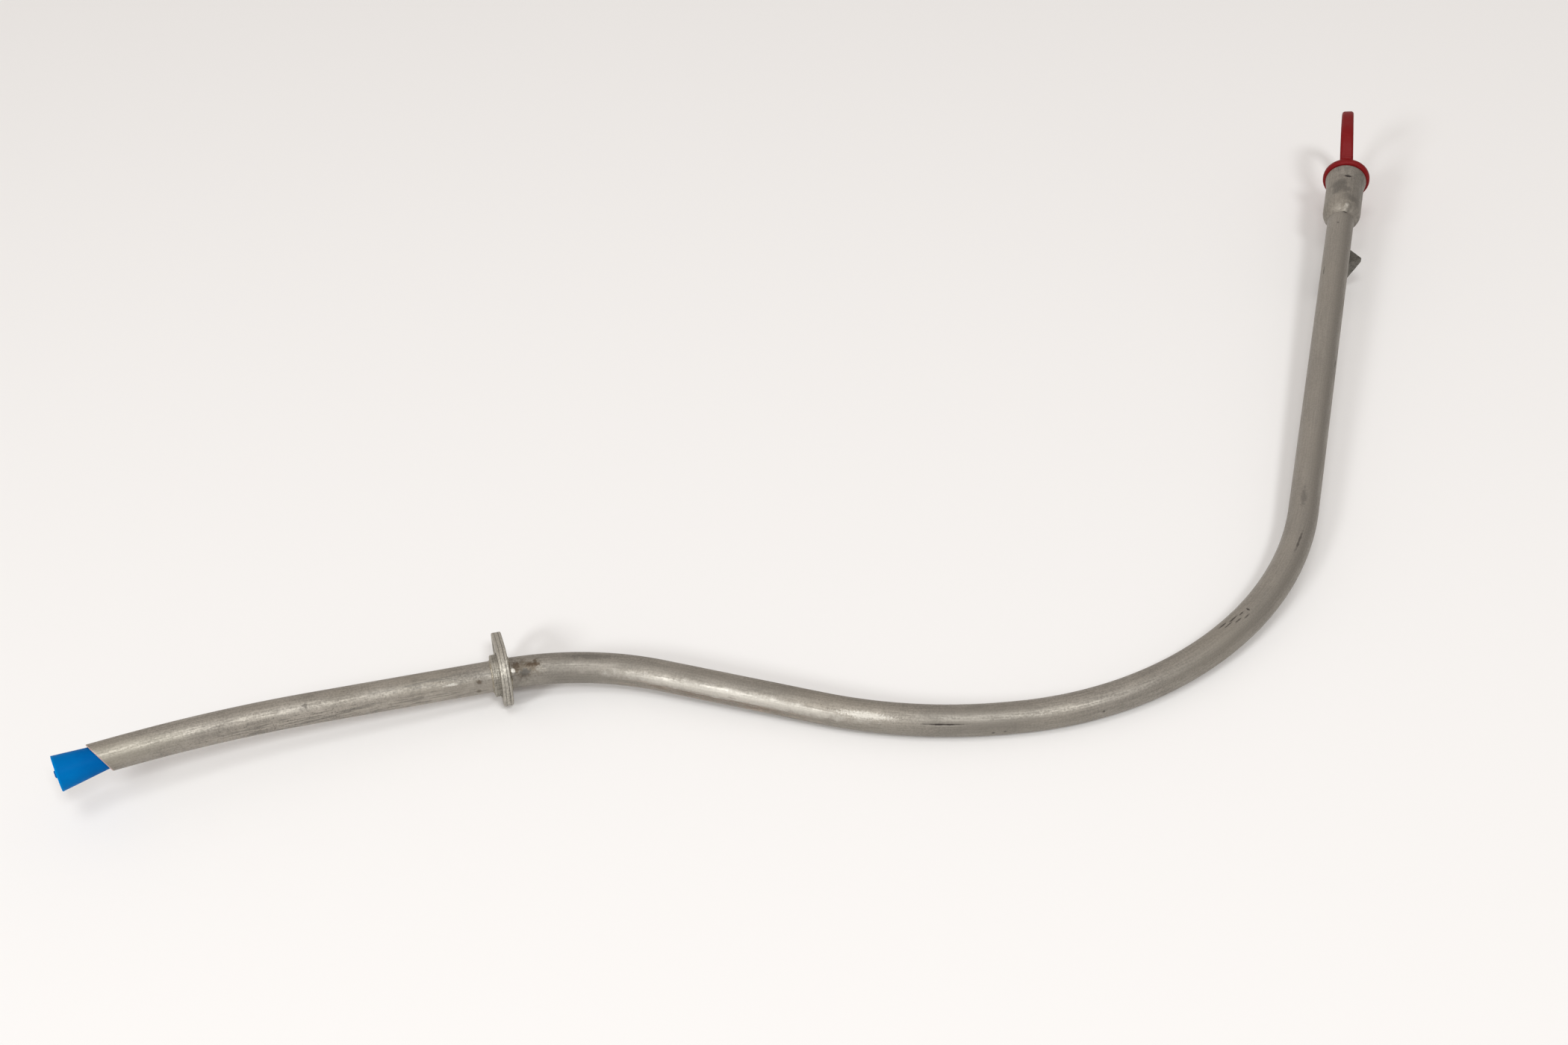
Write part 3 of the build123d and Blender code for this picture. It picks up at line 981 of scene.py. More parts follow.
@dataclass
class SocketCup:
    """Drawn cup on the tube's upper end: rolled rim, flare, straight body, round shoulder and one bump."""

    axes: Axes
    length: float = 0.0345
    radius: float = SOCKET_RADIUS
    rim_radius: float = 0.01005
    flare: float = 0.007
    shoulder: float = 0.0062
    wall: float = 0.0012
    base: float = 0.0016
    neck_gap: float = 0.00005
    foot: float = 0.0009
    bump_height: float = 0.0013
    bump_radius: float = 0.0034
    bump_below: float = 0.033
    bump_clock: float = 12.0
    nick_below: float = 0.0082
    nick_clock: float = 4.4
    nick_depth: float = 0.0004
    nick_radius: float = 0.00105
    nick_wide: float = 2.2
    nick_dark: float = 2.5
    columns: int = 176

    def shoulder_rows(self, inset: float, bottom: float) -> Array:
        """Ogive from the neck to the body: an arc that leaves the straight side and ends at the neck.

        Args:
            inset: Distance of the surface inside the cup's outside.
            bottom: Height of the neck.

        Returns:
            Profile rows from the neck up to the straight side.
        """
        side, neck = self.radius - inset, TUBE_RADIUS + self.neck_gap
        drop = self.length - self.shoulder
        rise = -drop - bottom
        bend = ((side - neck) ** 2 + rise**2) / (2.0 * (side - neck))
        sweep = np.degrees(np.arcsin(rise / bend))
        return arc((side - bend, -drop), bend, -sweep, 0.0, 26)

    def profile(self) -> Array:
        """Outline of the cup's section, closed on itself.

        Returns:
            Rows from the eased foot on the tube up the outside, over the rolled rim and down the inside.
        """
        half = self.wall / 2
        body_top = (self.radius, -self.flare)
        inner_top = (self.radius - self.wall, -self.flare)
        drop = self.length - self.shoulder
        outside = self.shoulder_rows(0.0, -self.length)
        clear = outside[outside[:, 1] > self.foot - self.length]
        foot = (TUBE_RADIUS, -self.length - self.foot)
        return np.concatenate(
            [
                eased(foot, tuple(outside[0]), tuple(clear[0]), 8),
                clear[1:],
                line((self.radius, -drop), body_top, 46)[1:],
                line(body_top, (self.rim_radius, -half), 18)[1:],
                arc((self.rim_radius - half, -half), half, 0.0, 180.0, 9)[1:],
                line((self.rim_radius - self.wall, -half), inner_top, 8)[1:],
                line(inner_top, (self.radius - self.wall, -drop), 12)[1:],
                self.shoulder_rows(self.wall, self.base - self.length)[::-1][1:],
            ]
        )

    def dome(self, rows: Array, clock: float, below: float, reach: float, wide: float) -> Array:
        """Low dome (1 - d²)², where d is the way over the surface from its middle, in reaches.

        Args:
            rows: Profile of the cup.
            clock: Degrees of the middle from the top.
            below: Distance of the middle below the rim.
            reach: Half length along the cup.
            wide: Half width round the cup, in half lengths.

        Returns:
            Height between 0 and 1 by row and column.
        """
        aside = self.radius * turned_away(around(self.columns), clock) / wide
        away = np.hypot(aside, rows[:, 1:] + below) / reach
        return np.clip(1.0 - away**2, 0.0, 1.0) ** 2

    def swell(self, rows: Array, outside: int) -> tuple[Array, Array]:
        """Radius added by the bump and taken by the nick, and the dark of the nick.

        The bump is height·(1 - d²)² of the way d over the surface, and the nick is the same shape, sunk.

        Args:
            rows: Profile of the cup.
            outside: Count of rows on the outside.

        Returns:
            Added radius and dark value by row and column.
        """
        mask = (np.arange(len(rows)) < outside)[:, None]
        bump = self.dome(rows, self.bump_clock, self.bump_below, self.bump_radius, 1.0) * mask
        nick = self.dome(rows, self.nick_clock, self.nick_below, self.nick_radius, self.nick_wide) * mask
        return self.bump_height * bump - self.nick_depth * nick, np.clip(self.nick_dark * nick, 0.0, 1.0)

    def build(self, finish: Finish) -> None:
        """Cup turned about the upper run's axis, with its bump and nick.

        Args:
            finish: Finish of the cup.
        """
        rows = self.profile()
        swell, dark = self.swell(rows, int(np.argmax(rows[:, 1])))
        points, local = turned(self.axes, rows, self.columns, swell)
        cup = grid_object("socket_skin", points, {DRAWN: local, SHADE: dark}, closed=True)
        settle(cup, finish.material(), Body.TUBE, Slot.ZINC, "socket_cup")


@dataclass
class SeatRing:
    """Turned seat behind the plate, with two fine grooves round it and a chamfer towards the lower end."""

    axes: Axes
    radius: float = 0.0086
    bore: float = 0.0064
    thick: float = 0.0028
    relief: float = 0.0004
    chamfer: float = 0.0004
    groove: float = 0.00014
    grooves: Pair = (0.0009, 0.0018)
    sharp: float = 35.0
    columns: int = 128

    def profile(self) -> Array:
        """Outline of the ring's section, closed on itself.

        Returns:
            Rows from the bore over the plate's side, down the outside across its grooves, and back.
        """
        top, bottom = self.relief - PLATE_HALF, -self.thick - PLATE_HALF
        rows = [line((self.bore, top), (self.radius, top), 4)]
        for below in self.grooves:
            middle = -PLATE_HALF - below
            sunk = self.radius - self.groove * np.array([0.0, 1.0, 1.0, 0.0])
            rows.append(np.stack([sunk, middle + self.groove * np.array([1.0, 0.5, -0.5, -1.0])], axis=-1))
        rows.append(line((self.radius, bottom + self.chamfer), (self.radius - self.chamfer, bottom), 3))
        rows.append(line((self.radius - self.chamfer, bottom), (self.bore, bottom), 4)[1:])
        return np.concatenate(rows)

    def build(self, finish: Finish) -> None:
        """Ring turned about the lower run, its faces flat-shaded where they meet sharply.

        Args:
            finish: Finish of the ring.
        """
        points, local = turned(self.axes, self.profile(), self.columns)
        seat = grid_object("seat_turning", points, {DRAWN: local}, closed=True)
        seat.data.set_sharp_from_angle(angle=np.radians(self.sharp))
        settle(seat, finish.material(), Body.TUBE, Slot.ZINC, "seat_ring")


@dataclass
class BrazeBead:
    """Lumpy bead of braze round the tube where it meets another piece."""

    name: str
    axes: Axes
    section: float
    lumps: int = 11
    waves: tuple[Triple, ...] = ((0.12, 5.0, 1.3), (0.1, 17.0, 0.4))
    columns: int = 140
    rows: int = 14

    def build(self, finish: Finish) -> None:
        """Ring of points ((R + q·cos b)·cos a, (R + q·cos b)·sin a, q·sin b).

        The section q swells round it as 1 + Σ share·sin(count·a + start) over the lumps and the waves.

        Args:
            finish: Finish of the bead.
        """
        a, b = around(self.columns), around(self.rows)[:, None]
        waves = ((0.16, self.lumps, 0.0),) + self.waves
        q = self.section * sum((share * np.sin(count * a + start) for share, count, start in waves), 1.0)
        ring = TUBE_RADIUS + q * np.cos(b)
        local = np.stack([ring * np.cos(a), ring * np.sin(a), q * np.sin(b)], axis=-1)
        bead = grid_object(self.name, self.axes.place(local), {}, closed=True)
        settle(bead, finish.material(), Body.TUBE, Slot.ZINC)


@dataclass
class StayWeld:
    """Short weld runs that hold the stay bracket under the tube, one on each side of the line of contact."""

    axes: Axes
    span: Pair = (0.0450, 0.0640)
    out: float = 0.0030
    below: float = 0.0058
    size: float = 0.0012
    pitch: float = 0.0016
    rows: int = 90
    columns: int = 20

    def build(self, finish: Finish) -> None:
        """Two beads: a round of radius size·√(1 - t⁸)·(0.9 + 0.1·sin(2πz/pitch)) carried along the tube.

        Args:
            finish: Finish of the beads.
        """
        t = np.linspace(-1.0, 1.0, self.rows)[:, None]
        z = np.mean(self.span) + t * np.ptp(self.span) / 2
        q = self.size * np.sqrt(1.0 - t**8) * (0.9 + 0.1 * np.sin(2.0 * np.pi * z / self.pitch))
        b = around(self.columns)
        for name, side in (("stay_weld_right", 1.0), ("stay_weld_left", -1.0)):
            x, y = -self.below + q * np.cos(b), side * self.out + q * np.sin(b)
            local = np.stack([x, y, np.broadcast_to(-z, x.shape)], axis=-1)
            bead = grid_object(name, self.axes.place(local), {})
            settle(bead, finish.material(), Body.TUBE, Slot.DARK)


@dataclass
class Dipstick:
    """Cap, seal and pin as packed, and the spring blade laid along the tube."""

    route: Route
    top: float = 0.010
    short_of_tip: float = 0.050
    width: float = 0.005
    thick: float = 0.0008
    notch_radius: float = 0.0011
    notch_spacing: float = 0.018
    notch_from_end: float = 0.012
    still_below: float = 0.236
    moves_above: float = 0.026
    edge_power: float = 0.35
    rows: int = 380
    notch_rows: int = 25
    columns: int = 24

    def blade_grid(self) -> tuple[Array, Array]:
        """Strip on edge along the route: half width·cos(b) up and half thickness·sin(b) aside, squared off.

        At a distance d from a notch's middle the upper edge comes down to half width - √(radius² - d²).

        Returns:
            Points, and the straightened-out coordinates of each.
        """
        end = self.route.length - self.short_of_tip
        notches = end - self.notch_from_end - self.notch_spacing * np.arange(2)
        fine = np.linspace(-1.2, 1.2, self.notch_rows) * self.notch_radius
        s = np.concatenate([np.linspace(self.top, end, self.rows), (notches[:, None] + fine).ravel()])
        s = np.sort(s)
        s = np.concatenate([s[:1], s, s[-1:]])[:, None]
        squares = np.clip(self.notch_radius**2 - (s - notches) ** 2, 0.0, None)
        depth = np.sqrt(squares).max(axis=1, keepdims=True)
        b = around(self.columns)
        size = np.ones_like(s)
        size[0] = size[-1] = 0.0
        half = self.width / 2
        upward = np.minimum(half * squared(np.cos(b), self.edge_power), half - depth) * size
        sideways = size * self.thick / 2 * squared(np.sin(b), self.edge_power)
        distance = np.broadcast_to(s, upward.shape)
        return self.route.section(distance, upward, sideways), np.stack([distance, upward, sideways], axis=-1)

    def build(self, red: Finish, rubber: Finish, blade_finish: Finish, pin_finish: Finish) -> None:
        """Dresses the cap's pieces, and lays a blade along the tube.

        Args:
            red: Finish of the cap.
            rubber: Finish of the seal ring.
            blade_finish: Finish of the blade.
            pin_finish: Finish of the cross pin.
        """
        dress_node("cap_handle", red)
        dress_node("seal_ring", rubber)
        dress_node("blade_pin", pin_finish)
        points, drawn = self.blade_grid()
        blade = grid_object("blade_strip", points, {DRAWN: drawn})
        blade.data.materials.append(blade_finish.material())
        ends, _ = self.route.at(np.array([self.still_below, self.moves_above]))
        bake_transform(blade)
        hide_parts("blade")
        LOG.info("built %s with %d faces across the pull", blade.name, len(blade.data.polygons))


@dataclass
class EndPlug:
    """Soft hollow cone in the lower end, with a small moulding tab on its mouth."""

    route: Route
    length: float = 0.030
    inserted: float = 0.010
    half_taper: float = 7.0
    wall: float = 0.0011
    lean: float = 4.2
    gap: float = 0.00055
    lip_round: float = 0.0003
    lip_inset: float = 0.00005
    cone_inset: float = 0.0001
    inner_ease: float = 0.0005
    floor_ease: float = 0.0004
    nose_round: float = 0.0006
    nose_rise: float = 1.3
    cone_glow: float = 0.34
    lip_glow: float = 0.66
    lip_band: Pair = (0.0012, 0.0013)
    tab: Triple = (0.003, 0.0011, 0.002)
    tab_power: float = 0.3
    tab_glow: float = 0.15
    columns: int = 120

    @cached_property
    def axes(self) -> Axes:
        """Frame of the plug, which leans away from the long side of the tube's cut.

        Returns:
            Frame at the short side of the cut, with x towards the long side and z out along the plug.
        """
        tip, out = (value[0] for value in self.route.at(np.array([self.route.length])))
        cut = Axes.along(tip, out)
        clock = np.radians(self.route.cut_lean)
        long_side = cut.rows[0] * np.cos(clock) + cut.rows[1] * np.sin(clock)
        axis = unit(out - long_side * np.tan(np.radians(self.lean)))
        across = unit(long_side - (long_side @ axis) * axis)
        origin = tip - out * TUBE_RADIUS * self.route.cut_slope
        return Axes(origin, np.array([across, np.cross(axis, across), axis]))

    @property
    def outer_end(self) -> float:
        """Height of the mouth above the short side of the tube's cut."""
        return self.length - self.inserted

    def profile(self) -> Array:
        """Outline of the plug's section, from the axis back to the axis.

        Returns:
            Rows from the closed nose up the cone, over the rounded lip and down the inside to the nose.
        """
        taper, end, nose_end = np.tan(np.radians(self.half_taper)), self.outer_end, -self.inserted
        mouth = TUBE_RADIUS - TUBE_WALL - self.gap + end * taper
        nose = mouth - self.length * taper
        lip, soft = self.lip_round, self.nose_round
        cone_start = (nose + self.nose_rise * soft * taper, nose_end + self.nose_rise * soft)
        inner_mouth, inner_nose, floor = mouth - self.wall, nose - self.wall, self.wall + nose_end
        return np.concatenate(
            [
                line((0.0, nose_end), (nose - soft, nose_end), 5),
                arc((nose - soft, nose_end + soft), soft, -80.0, -7.0, 6),
                line(cone_start, (mouth - self.cone_inset, end - lip), 40),
                arc((mouth - lip - self.lip_inset, end - lip), lip, 10.0, 90.0, 6),
                arc((inner_mouth + lip, end - lip), lip, 90.0, 180.0, 6),
                line((inner_mouth, end - self.inner_ease), (inner_nose, floor), 30),
                line((inner_nose - self.floor_ease, floor), (0.0, floor), 4),
            ]
        )

    def build(self, finish: Finish) -> None:
        """Cone turned about the plug's axis, paler towards its lip, and its tab.

        Args:
            finish: Finish of the plug.
        """
        rows = self.profile()
        points, local = turned(self.axes, rows, self.columns)
        height = local[..., 0]
        past = height - self.outer_end + self.lip_band[0]
        pale = self.cone_glow * smoothstep(height / self.outer_end)
        pale = pale + self.lip_glow * smoothstep(past / self.lip_band[1])
        cone = grid_object("plug_cone", points, {SHADE: pale})
        material = finish.material()
        settle(cone, material, Body.PLUG, Slot.BLUE, "end_plug")
        middle = np.array([0.0, rows[:, 0].max() - self.wall / 2, self.outer_end])
        settle(self.tab_piece(middle), material, Body.PLUG, Slot.BLUE)

    def tab_piece(self, middle: Array) -> bpy.types.Object:
        """Tab as a squared-off ellipsoid: each half size times sines and cosines to a power below one.

        Args:
            middle: Centre in the plug's frame.

        Returns:
            The tab's object.
        """
        a, b = around(32), np.linspace(-np.pi / 2, np.pi / 2, 17)[:, None]
        waist = squared(np.cos(b), self.tab_power)
        x = self.tab[0] / 2 * waist * squared(np.cos(a), self.tab_power)
        y = self.tab[1] / 2 * waist * squared(np.sin(a), self.tab_power)
        z = self.tab[2] / 2 * squared(np.sin(b), self.tab_power) * np.ones_like(a)
        points = self.axes.place(middle + np.stack([x, y, z], axis=-1))
        return grid_object("plug_tab", points, {SHADE: np.full(x.shape, self.tab_glow)})


@dataclass(frozen=True)
class Lamp:
    """Soft box aimed at a point: bearing and height in degrees, distance, size and power."""

    name: str
    bearing: float
    height: float
    distance: float
    size: Pair
    power: float


@dataclass
class Studio:
    """Pale floor, soft boxes, even surroundings and the camera at the photograph's place."""

    flange_bend: Array
    camera_offset: Triple = (0.0872, -0.56194, 0.5641)
    camera_yaw: float = 0.11
    camera_pitch: float = 41.6
    camera_roll: float = 5.2
    focal_share: float = 2600.0 / 2100.0
    sensor: float = 36.0
    floor_size: float = 40.0
    floor_fade: Pair = (1.2, 3.2)
    floor_colour: Colour = (0.925, 0.905, 0.892)
    floor_roughness: float = 0.55
    floor_specular: float = 0.15
    air_colour: Colour = (1.0, 0.94, 0.89)
    lamp_colour: Colour = (0.955, 0.985, 1.0)
    ambient: float = 0.485
    seen_air: float = 0.80
    mirrored_air: Pair = (0.30, 1.0)
    mirrored_turn: Pair = (-0.65, 0.6)
    bright_side: Triple = (-0.75, -0.02, 0.65)
    aim: Triple = (0.05, 0.15, 0.01)
    lamps: tuple[Lamp, ...] = (
        Lamp("front_left", -130.0, 31.0, 3.1, (0.66, 0.56), 25.5),
        Lamp("front_right", -72.0, 49.0, 3.1, (0.54, 0.54), 25.5),
        Lamp("overhead", -105.0, 68.0, 2.8, (1.0, 0.8), 12.5),
    )

    @staticmethod
    def rays(w: Wiring, *kinds: str) -> bpy.types.NodeSocket:
        """One for a ray of any of the named kinds, else zero."""
        path = w.add("ShaderNodeLightPath").outputs
        return reduce(partial(w.math, "MAXIMUM"), [path[f"Is {kind} Ray"] for kind in kinds])

    def floor_material(self) -> bpy.types.Material:
        """Pale sheet, a little glossy, that turns into the tone of the seen air far from the part.

        Returns:
            The floor's material.
        """
        material = bpy.data.materials.new("pale_floor")
        material.use_nodes = True
        w = Wiring(material.node_tree)
        w.tree.nodes.clear()
        feeds = {"Base Color": self.floor_colour, "Roughness": self.floor_roughness}
        feeds |= {"Specular IOR Level": self.floor_specular}
        sheet = w.add("ShaderNodeBsdfPrincipled", feeds).outputs[0]
        feeds = {"Color": self.air_colour, "Strength": self.seen_air}
        air = w.add("ShaderNodeEmission", feeds).outputs[0]
        seen = self.rays(w, "Camera", "Transmission", "Glossy")
        away = w.vector("LENGTH", w.add("ShaderNodeTexCoord").outputs["Object"], (0.0, 0.0, 0.0))
        share = w.math("MULTIPLY", seen, w.ramp(away, *self.floor_fade))
        surface = w.add("ShaderNodeMixShader", {0: share, 1: sheet, 2: air}).outputs[0]
        w.add("ShaderNodeOutputMaterial", {"Surface": surface})
        return material

    def set_floor(self) -> None:
        """Flat sheet under the part."""
        half = self.floor_size / 2
        mesh = bpy.data.meshes.new("floor")
        corners = [(-half, -half, 0), (half, -half, 0), (half, half, 0), (-half, half, 0)]
        mesh.from_pydata(corners, [], [(0, 1, 2, 3)])
        mesh.materials.append(self.floor_material())
        floor = bpy.data.objects.new("floor", mesh)
        bpy.context.scene.collection.objects.link(floor)

    def set_air(self) -> None:
        """Surroundings: an even light, paler where they are seen, with a light and a dark side in gloss."""
        world = bpy.data.worlds.new("air")
        world.use_nodes = True
        w = Wiring(world.node_tree)
        w.tree.nodes.clear()
        towards = w.add("ShaderNodeTexCoord").outputs["Generated"]
        facing = w.vector("DOT_PRODUCT", towards, tuple(unit(np.array(self.bright_side))))
        mirrored = w.ramp(facing, *self.mirrored_turn, *self.mirrored_air)
        seen = self.rays(w, "Camera", "Transmission")
        strength = w.ramp(seen, 0.0, 1.0, self.ambient, self.seen_air)
        strength = w.ramp(self.rays(w, "Glossy"), 0.0, 1.0, strength, mirrored)
        feeds = {"Color": self.air_colour, "Strength": strength}
        w.add("ShaderNodeOutputWorld", {"Surface": w.add("ShaderNodeBackground", feeds).outputs[0]})
        bpy.context.scene.world = world

    def set_lamps(self) -> None:
        """Soft boxes, each at its bearing, height and distance from the aim, facing it."""
        for lamp in self.lamps:
            data = bpy.data.lights.new(lamp.name, "AREA")
            data.shape = "RECTANGLE"
            data.size, data.size_y = lamp.size
            data.energy = lamp.power
            data.color = self.lamp_colour
            b, h = np.radians([lamp.bearing, lamp.height])
            away = np.array([np.cos(b) * np.cos(h), np.sin(b) * np.cos(h), np.sin(h)])
            right = unit(np.cross(UP, away))
            turn = np.eye(4)
            turn[:3, 0], turn[:3, 1], turn[:3, 2] = right, np.cross(away, right), away
            turn[:3, 3] = np.array(self.aim) + lamp.distance * away
            made = bpy.data.objects.new(lamp.name, data)
            made.matrix_world = Matrix(turn.tolist())
            bpy.context.scene.collection.objects.link(made)

    def set_camera(self) -> None:
        """Camera turned by yaw about up, then by pitch about its level axis, then by roll about its line."""
        data = bpy.data.cameras.new("camera")
        data.sensor_width = self.sensor
        data.lens = self.focal_share * self.sensor
        data.clip_start, data.clip_end = 0.01, 100.0
        made = bpy.data.objects.new("camera", data)
        yaw, tilt, roll = np.radians([self.camera_yaw, 90.0 - self.camera_pitch, -self.camera_roll])
        turn = Matrix.Rotation(yaw, 4, "Z") @ Matrix.Rotation(tilt, 4, "X") @ Matrix.Rotation(roll, 4, "Z")
        place = self.flange_bend + np.array(self.camera_offset)
        made.matrix_world = Matrix.Translation(place.tolist()) @ turn
        bpy.context.scene.collection.objects.link(made)
        bpy.context.scene.camera = made

    def build(self) -> None:
        """Sets the whole studio and plain colour handling."""
        self.set_floor()
        self.set_air()
        self.set_lamps()
        self.set_camera()
        bpy.context.scene.view_settings.view_transform = "Standard"
        LOG.info("set the studio with %d soft boxes", len(self.lamps))


KNEE_SCORES = (
    (0.3285, 20.0, (0.0034, 0.0005), 0.80, 1.0),
    (0.3228, 11.0, (0.0034, 0.0005), 0.80, 1.0),
    (0.3185, 5.0, (0.0024, 0.0005), 0.70, 1.2),
    (0.3268, 5.0, (0.0028, 0.0004), 0.70, 1.2),
    (0.3222, 353.0, (0.0028, 0.0004), 0.65, 1.2),
    (0.3178, 343.0, (0.0022, 0.0004), 0.60, 1.2),
)

TUBE_MARKS = (
    # Painted shading: an even tone over the upper run and the knee.
    Mark((0.10, 0.0, 0.0), (0.34, 0.2, 0.2), UPPER_RUN_SHADE, strength=0.65, ragged=0.25, grain=40.0),
    # Painted shade along the lower front side of the level, drop and lower runs.
    Mark.on_tube(0.560, 262.0, (0.240, 0.0052), COOL_SHADE, strength=0.40, ragged=0.9, grain=90.0),
    # Painted reflection of the floor along the lower front side of the lower run.
    Mark.on_tube(0.700, 262.0, (0.095, 0.0060), FLOOR_REFLECTION, strength=0.75, ragged=0.8, grain=160.0),
    Mark.on_tube(0.70, 268.0, (0.085, 0.0052), SMUDGE, strength=0.6, ragged=1.3, grain=260.0, streaked=True),
    Mark.on_tube(0.66, 330.0, (0.04, 0.0030), SMUDGE, strength=0.65, ragged=1.6, grain=260.0, streaked=True),
    # Painted shade: the darker band above the drop run's highlight.
    Mark.on_tube(0.548, 345.0, (0.060, 0.0040), PAINTED_SHADE, strength=0.55, ragged=0.6, grain=160.0),
    Mark.on_tube(0.546, 258.0, (0.055, 0.0044), TAN, strength=0.85, ragged=0.8, grain=200.0, streaked=True),
    # Painted shade on the bend beside the flange.
    Mark.on_tube(0.6020, 318.0, (0.0300, 0.0110), PAINTED_SHADE, strength=0.62, ragged=0.9, grain=120.0),
    Mark.on_tube(0.5980, 4.0, (0.0120, 0.0022), SMUDGE, strength=0.50, ragged=2.0, grain=420.0),
    Mark.on_tube(0.6255, 326.0, (0.0080, 0.0050), STAIN, strength=0.75, ragged=1.7, grain=520.0),
    Mark.on_tube(0.6226, 337.0, (0.0046, 0.0012), BROWN, strength=0.8, ragged=2.2, grain=1300.0),
    Mark.on_tube(0.6214, 345.0, (0.0012, 0.0026), BROWN, strength=0.7, ragged=2.0, grain=1500.0),
    Mark.on_tube(0.6258, 312.0, (0.0034, 0.0022), SMUDGE, strength=0.85, ragged=1.8, grain=900.0),
    Mark.on_tube(0.6296, 338.0, (0.0022, 0.0030), BROWN, strength=0.7, ragged=1.6, grain=900.0),
    Mark.on_tube(0.6450, 302.0, (0.0018, 0.0014), BROWN, strength=0.70),
    Mark.on_tube(0.6456, 262.0, (0.0016, 0.0014), BROWN, strength=0.60),
    # Painted glint beside the flange.
    Mark.on_tube(0.6309, 321.0, (0.0012, 0.0014), WEAR_AND_HIGHLIGHT, strength=0.85, ragged=0.8),
    Mark((0.715, -0.0004, -0.0026), (0.075, 0.0050, 0.0038), SCORE, strength=0.60, ragged=3.0, grain=1500.0),
    # Painted straw-tinted highlight on the upper side near the lower end.
    Mark.on_tube(0.7900, 316.0, (0.045, 0.0060), STRAW_HIGHLIGHT, strength=0.35, ragged=0.6, grain=160.0),
    Mark.on_tube(0.7320, 255.0, (0.0085, 0.0020), SCORE, strength=0.30, ragged=2.6, grain=1100.0),
    Mark.on_tube(0.7137, 328.0, (0.0014, 0.0009), SCORE, strength=0.55, ragged=1.8),
    # Painted glint: a thin bright line near the flange.
    Mark.on_tube(0.6561, 309.0, (0.0040, 0.0007), WEAR_AND_HIGHLIGHT, strength=0.55, ragged=1.6),
    # Painted shade that dims the highlight on the level run.
    Mark.on_tube(0.4400, 322.0, (0.0360, 0.0090), PAINTED_SHADE, strength=0.70, ragged=0.9, grain=120.0),
    Mark.on_tube(0.4527, 303.0, (0.0110, 0.0005), SCORE, strength=0.95, ragged=1.0, grain=420.0, depth=1.4),
    Mark.on_tube(0.4344, 260.0, (0.0008, 0.0007), SCORE, strength=0.70, depth=0.8),
    Mark.on_tube(0.4299, 264.0, (0.0008, 0.0007), SCORE, strength=0.70, depth=0.8),
    Mark.on_tube(0.3918, 280.0, (0.0007, 0.0007), SCORE, strength=0.60, depth=0.6),
    # Worn patch, partly bare wear and partly a painted sparkle of highlight in its grain.
    Mark.on_tube(0.4830, 318.0, (0.0140, 0.0018), WEAR_AND_HIGHLIGHT, strength=0.55, ragged=2.4, grain=1500.0),
    # Painted highlight along the drop run.
    Mark.on_tube(0.5380, 298.0, (0.0700, 0.0034), WEAR_AND_HIGHLIGHT, strength=0.55, ragged=0.9, grain=300.0),
    Mark.on_tube(0.545, 268.0, (0.048, 0.0026), BROWN, strength=0.6, ragged=1.3, grain=300.0, streaked=True),
    *(
        Mark.on_tube(down, clock, size, SCORE, strength=strength, ragged=ragged, grain=700.0, depth=0.8)
        for down, clock, size, strength, ragged in KNEE_SCORES
    ),
    Mark.on_tube(0.3148, 358.0, (0.0007, 0.0012), SCORE, strength=0.80, ragged=1.2, grain=900.0, depth=0.8),
    Mark.on_tube(0.2690, 343.0, (0.0090, 0.0006), SCORE, strength=0.60, ragged=1.8, grain=500.0, depth=0.5),
    Mark.on_tube(0.2420, 6.0, (0.0075, 0.0016), SMUDGE, strength=0.50, ragged=2.0, grain=700.0),
    Mark.on_tube(0.1488, 298.0, (0.0038, 0.0005), SCORE, strength=0.80, ragged=1.0),
    Mark.on_tube(0.0810, 51.0, (0.0040, 0.0005), SCORE, strength=0.70, ragged=1.4),
    Mark.on_tube(0.0444, 12.0, (0.0009, 0.0008), SCORE, strength=0.60, ragged=1.6),
)

SOCKET_MARKS = (
    Mark.on_socket(0.0170, 340.0, (0.0090, 0.0062), SMUDGE, strength=0.65, ragged=1.5, grain=260.0),
    Mark.on_socket(0.0255, 20.0, (0.0040, 0.0048), SMUDGE, strength=0.45, ragged=1.8, grain=300.0),
    # Painted highlight on the socket's bump.
    Mark.on_socket(0.0322, 13.0, (0.0016, 0.0016), WEAR_AND_HIGHLIGHT, strength=0.35, ragged=2.0, grain=1400.0),
)

PLATE_MARKS = (
    Mark((0.0, 0.0, 0.0007), (0.2, 0.2, 0.00022), SCORE, strength=0.70, ragged=0.9, grain=700.0, depth=0.6),
    Mark((0.0, 0.0, -0.0009), (0.2, 0.2, 0.00018), SCORE, strength=0.55, ragged=1.1, grain=700.0, depth=0.6),
    Mark((0.0, 0.0, PLATE_HALF), (0.2, 0.2, 0.00016), SCORE, strength=0.45, ragged=1.1, grain=900.0),
)


def mount(name: str) -> dict[str, Any]:
    """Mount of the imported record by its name."""
    return next(m for m in frame["record"]["mounts"] if m["name"] == name)


def flange_axes(spigot_middle: float = 0.00295) -> Axes:
    """Frame at the flange's middle on the lower run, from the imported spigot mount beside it.

    Args:
        spigot_middle: Distance from the spigot's middle to the flange's middle.

    Returns:
        Frame with z along the run, towards the bend.
    """
    spigot = mount("flange_spigot")
    along = -np.array(spigot["axis"])
    return Axes.along(np.array(spigot["pos_m"]) + along * spigot_middle, along)


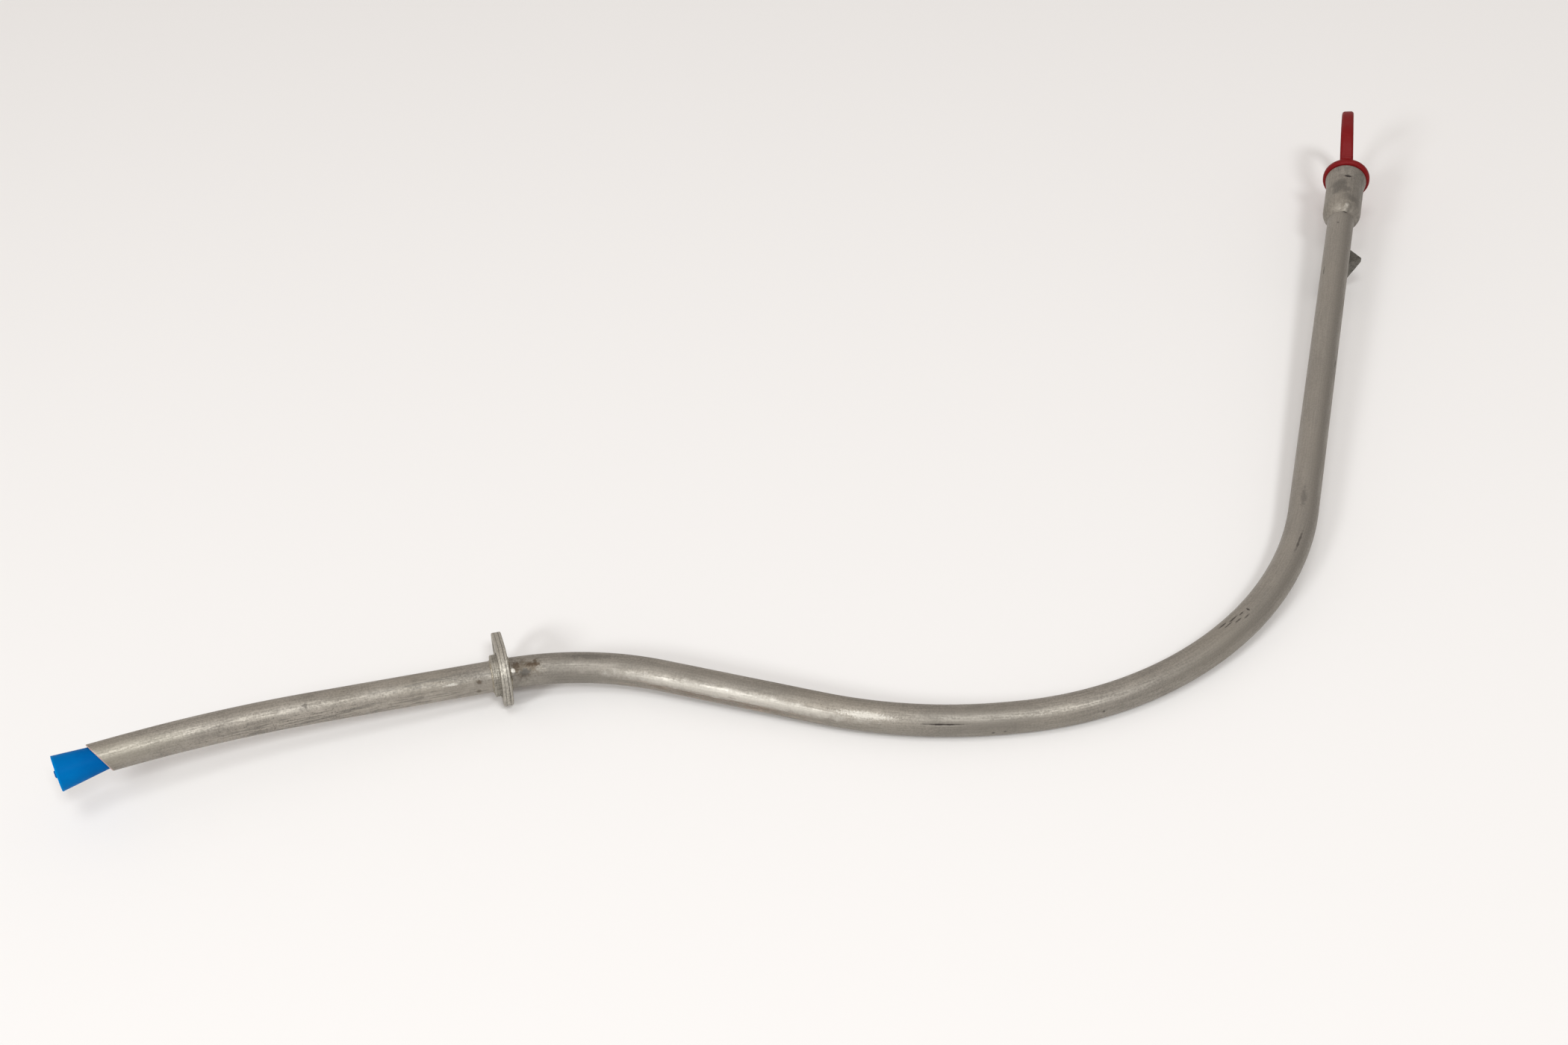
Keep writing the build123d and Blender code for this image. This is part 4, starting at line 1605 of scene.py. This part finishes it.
def main() -> None:
    """Builds the pieces in order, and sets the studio."""
    logging.basicConfig(level=logging.INFO, format="%(name)s: %(message)s")
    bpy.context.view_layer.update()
    flange = flange_axes()
    route = Route(flange.slid(FLANGE_TO_BEND).origin)
    rim = Axes.along(route.corners[0], -route.stretches[0].tangent)

    GuideTube(route).build(ZincPlate("zinc_tube", Coordinates.DRAWN, shade=BARE, marks=TUBE_MARKS))
    SocketCup(rim).build(
        ZincPlate(
            "zinc_socket",
            Coordinates.DRAWN,
            light=(0.335, 0.310, 0.274),
            dark=(0.165, 0.152, 0.135),
            shade=SCORE,
            roughness=(0.5, 0.66),
            patch=120.0,
            stretch=(60.0, 900.0, 900.0),
            marks=SOCKET_MARKS,
        )
    )
    plate = ZincPlate(
        "zinc_plate",
        place=flange,
        light=(0.53, 0.50, 0.435),
        dark=(0.235, 0.22, 0.195),
        patch=160.0,
        marks=PLATE_MARKS,
    )
    dress_node("mounting_flange", plate)
    seat = SeatRing(flange)
    seat.build(ZincPlate("zinc_seat", Coordinates.DRAWN, light=(0.46, 0.435, 0.375), patch=160.0))
    braze = ZincPlate(
        "braze", light=(0.46, 0.42, 0.33), dark=(0.17, 0.145, 0.11), roughness=(0.32, 0.5), patch=260.0
    )
    BrazeBead("flange_bead", flange.slid(PLATE_HALF), section=0.0008).build(braze)
    BrazeBead("seat_bead", flange.slid(-PLATE_HALF - seat.thick), section=0.0005, lumps=9).build(braze)
    dark_zinc = ZincPlate("dark_zinc", light=(0.20, 0.19, 0.165), dark=(0.075, 0.07, 0.062), patch=150.0)
    dress_node("stay_bracket", dark_zinc)
    StayWeld(rim).build(dark_zinc)
    red, scuffed_red = (0.170, 0.003, 0.004), (0.26, 0.025, 0.025)
    Dipstick(route).build(
        MouldedPlastic("red_moulding", red, scuffed_red, (0.42, 0.55), specular=0.16),
        MouldedPlastic("black_rubber", (0.012, 0.012, 0.012), (0.03, 0.03, 0.03), (0.55, 0.7)),
        RolledSteel("rolled_blade"),
        RolledSteel("rolled_pin", Coordinates.OBJECT),
    )
    EndPlug(route).build(SoftPlug("soft_blue"))
    Studio(route.flange_bend).build()


if __name__ == "__main__":
    main()
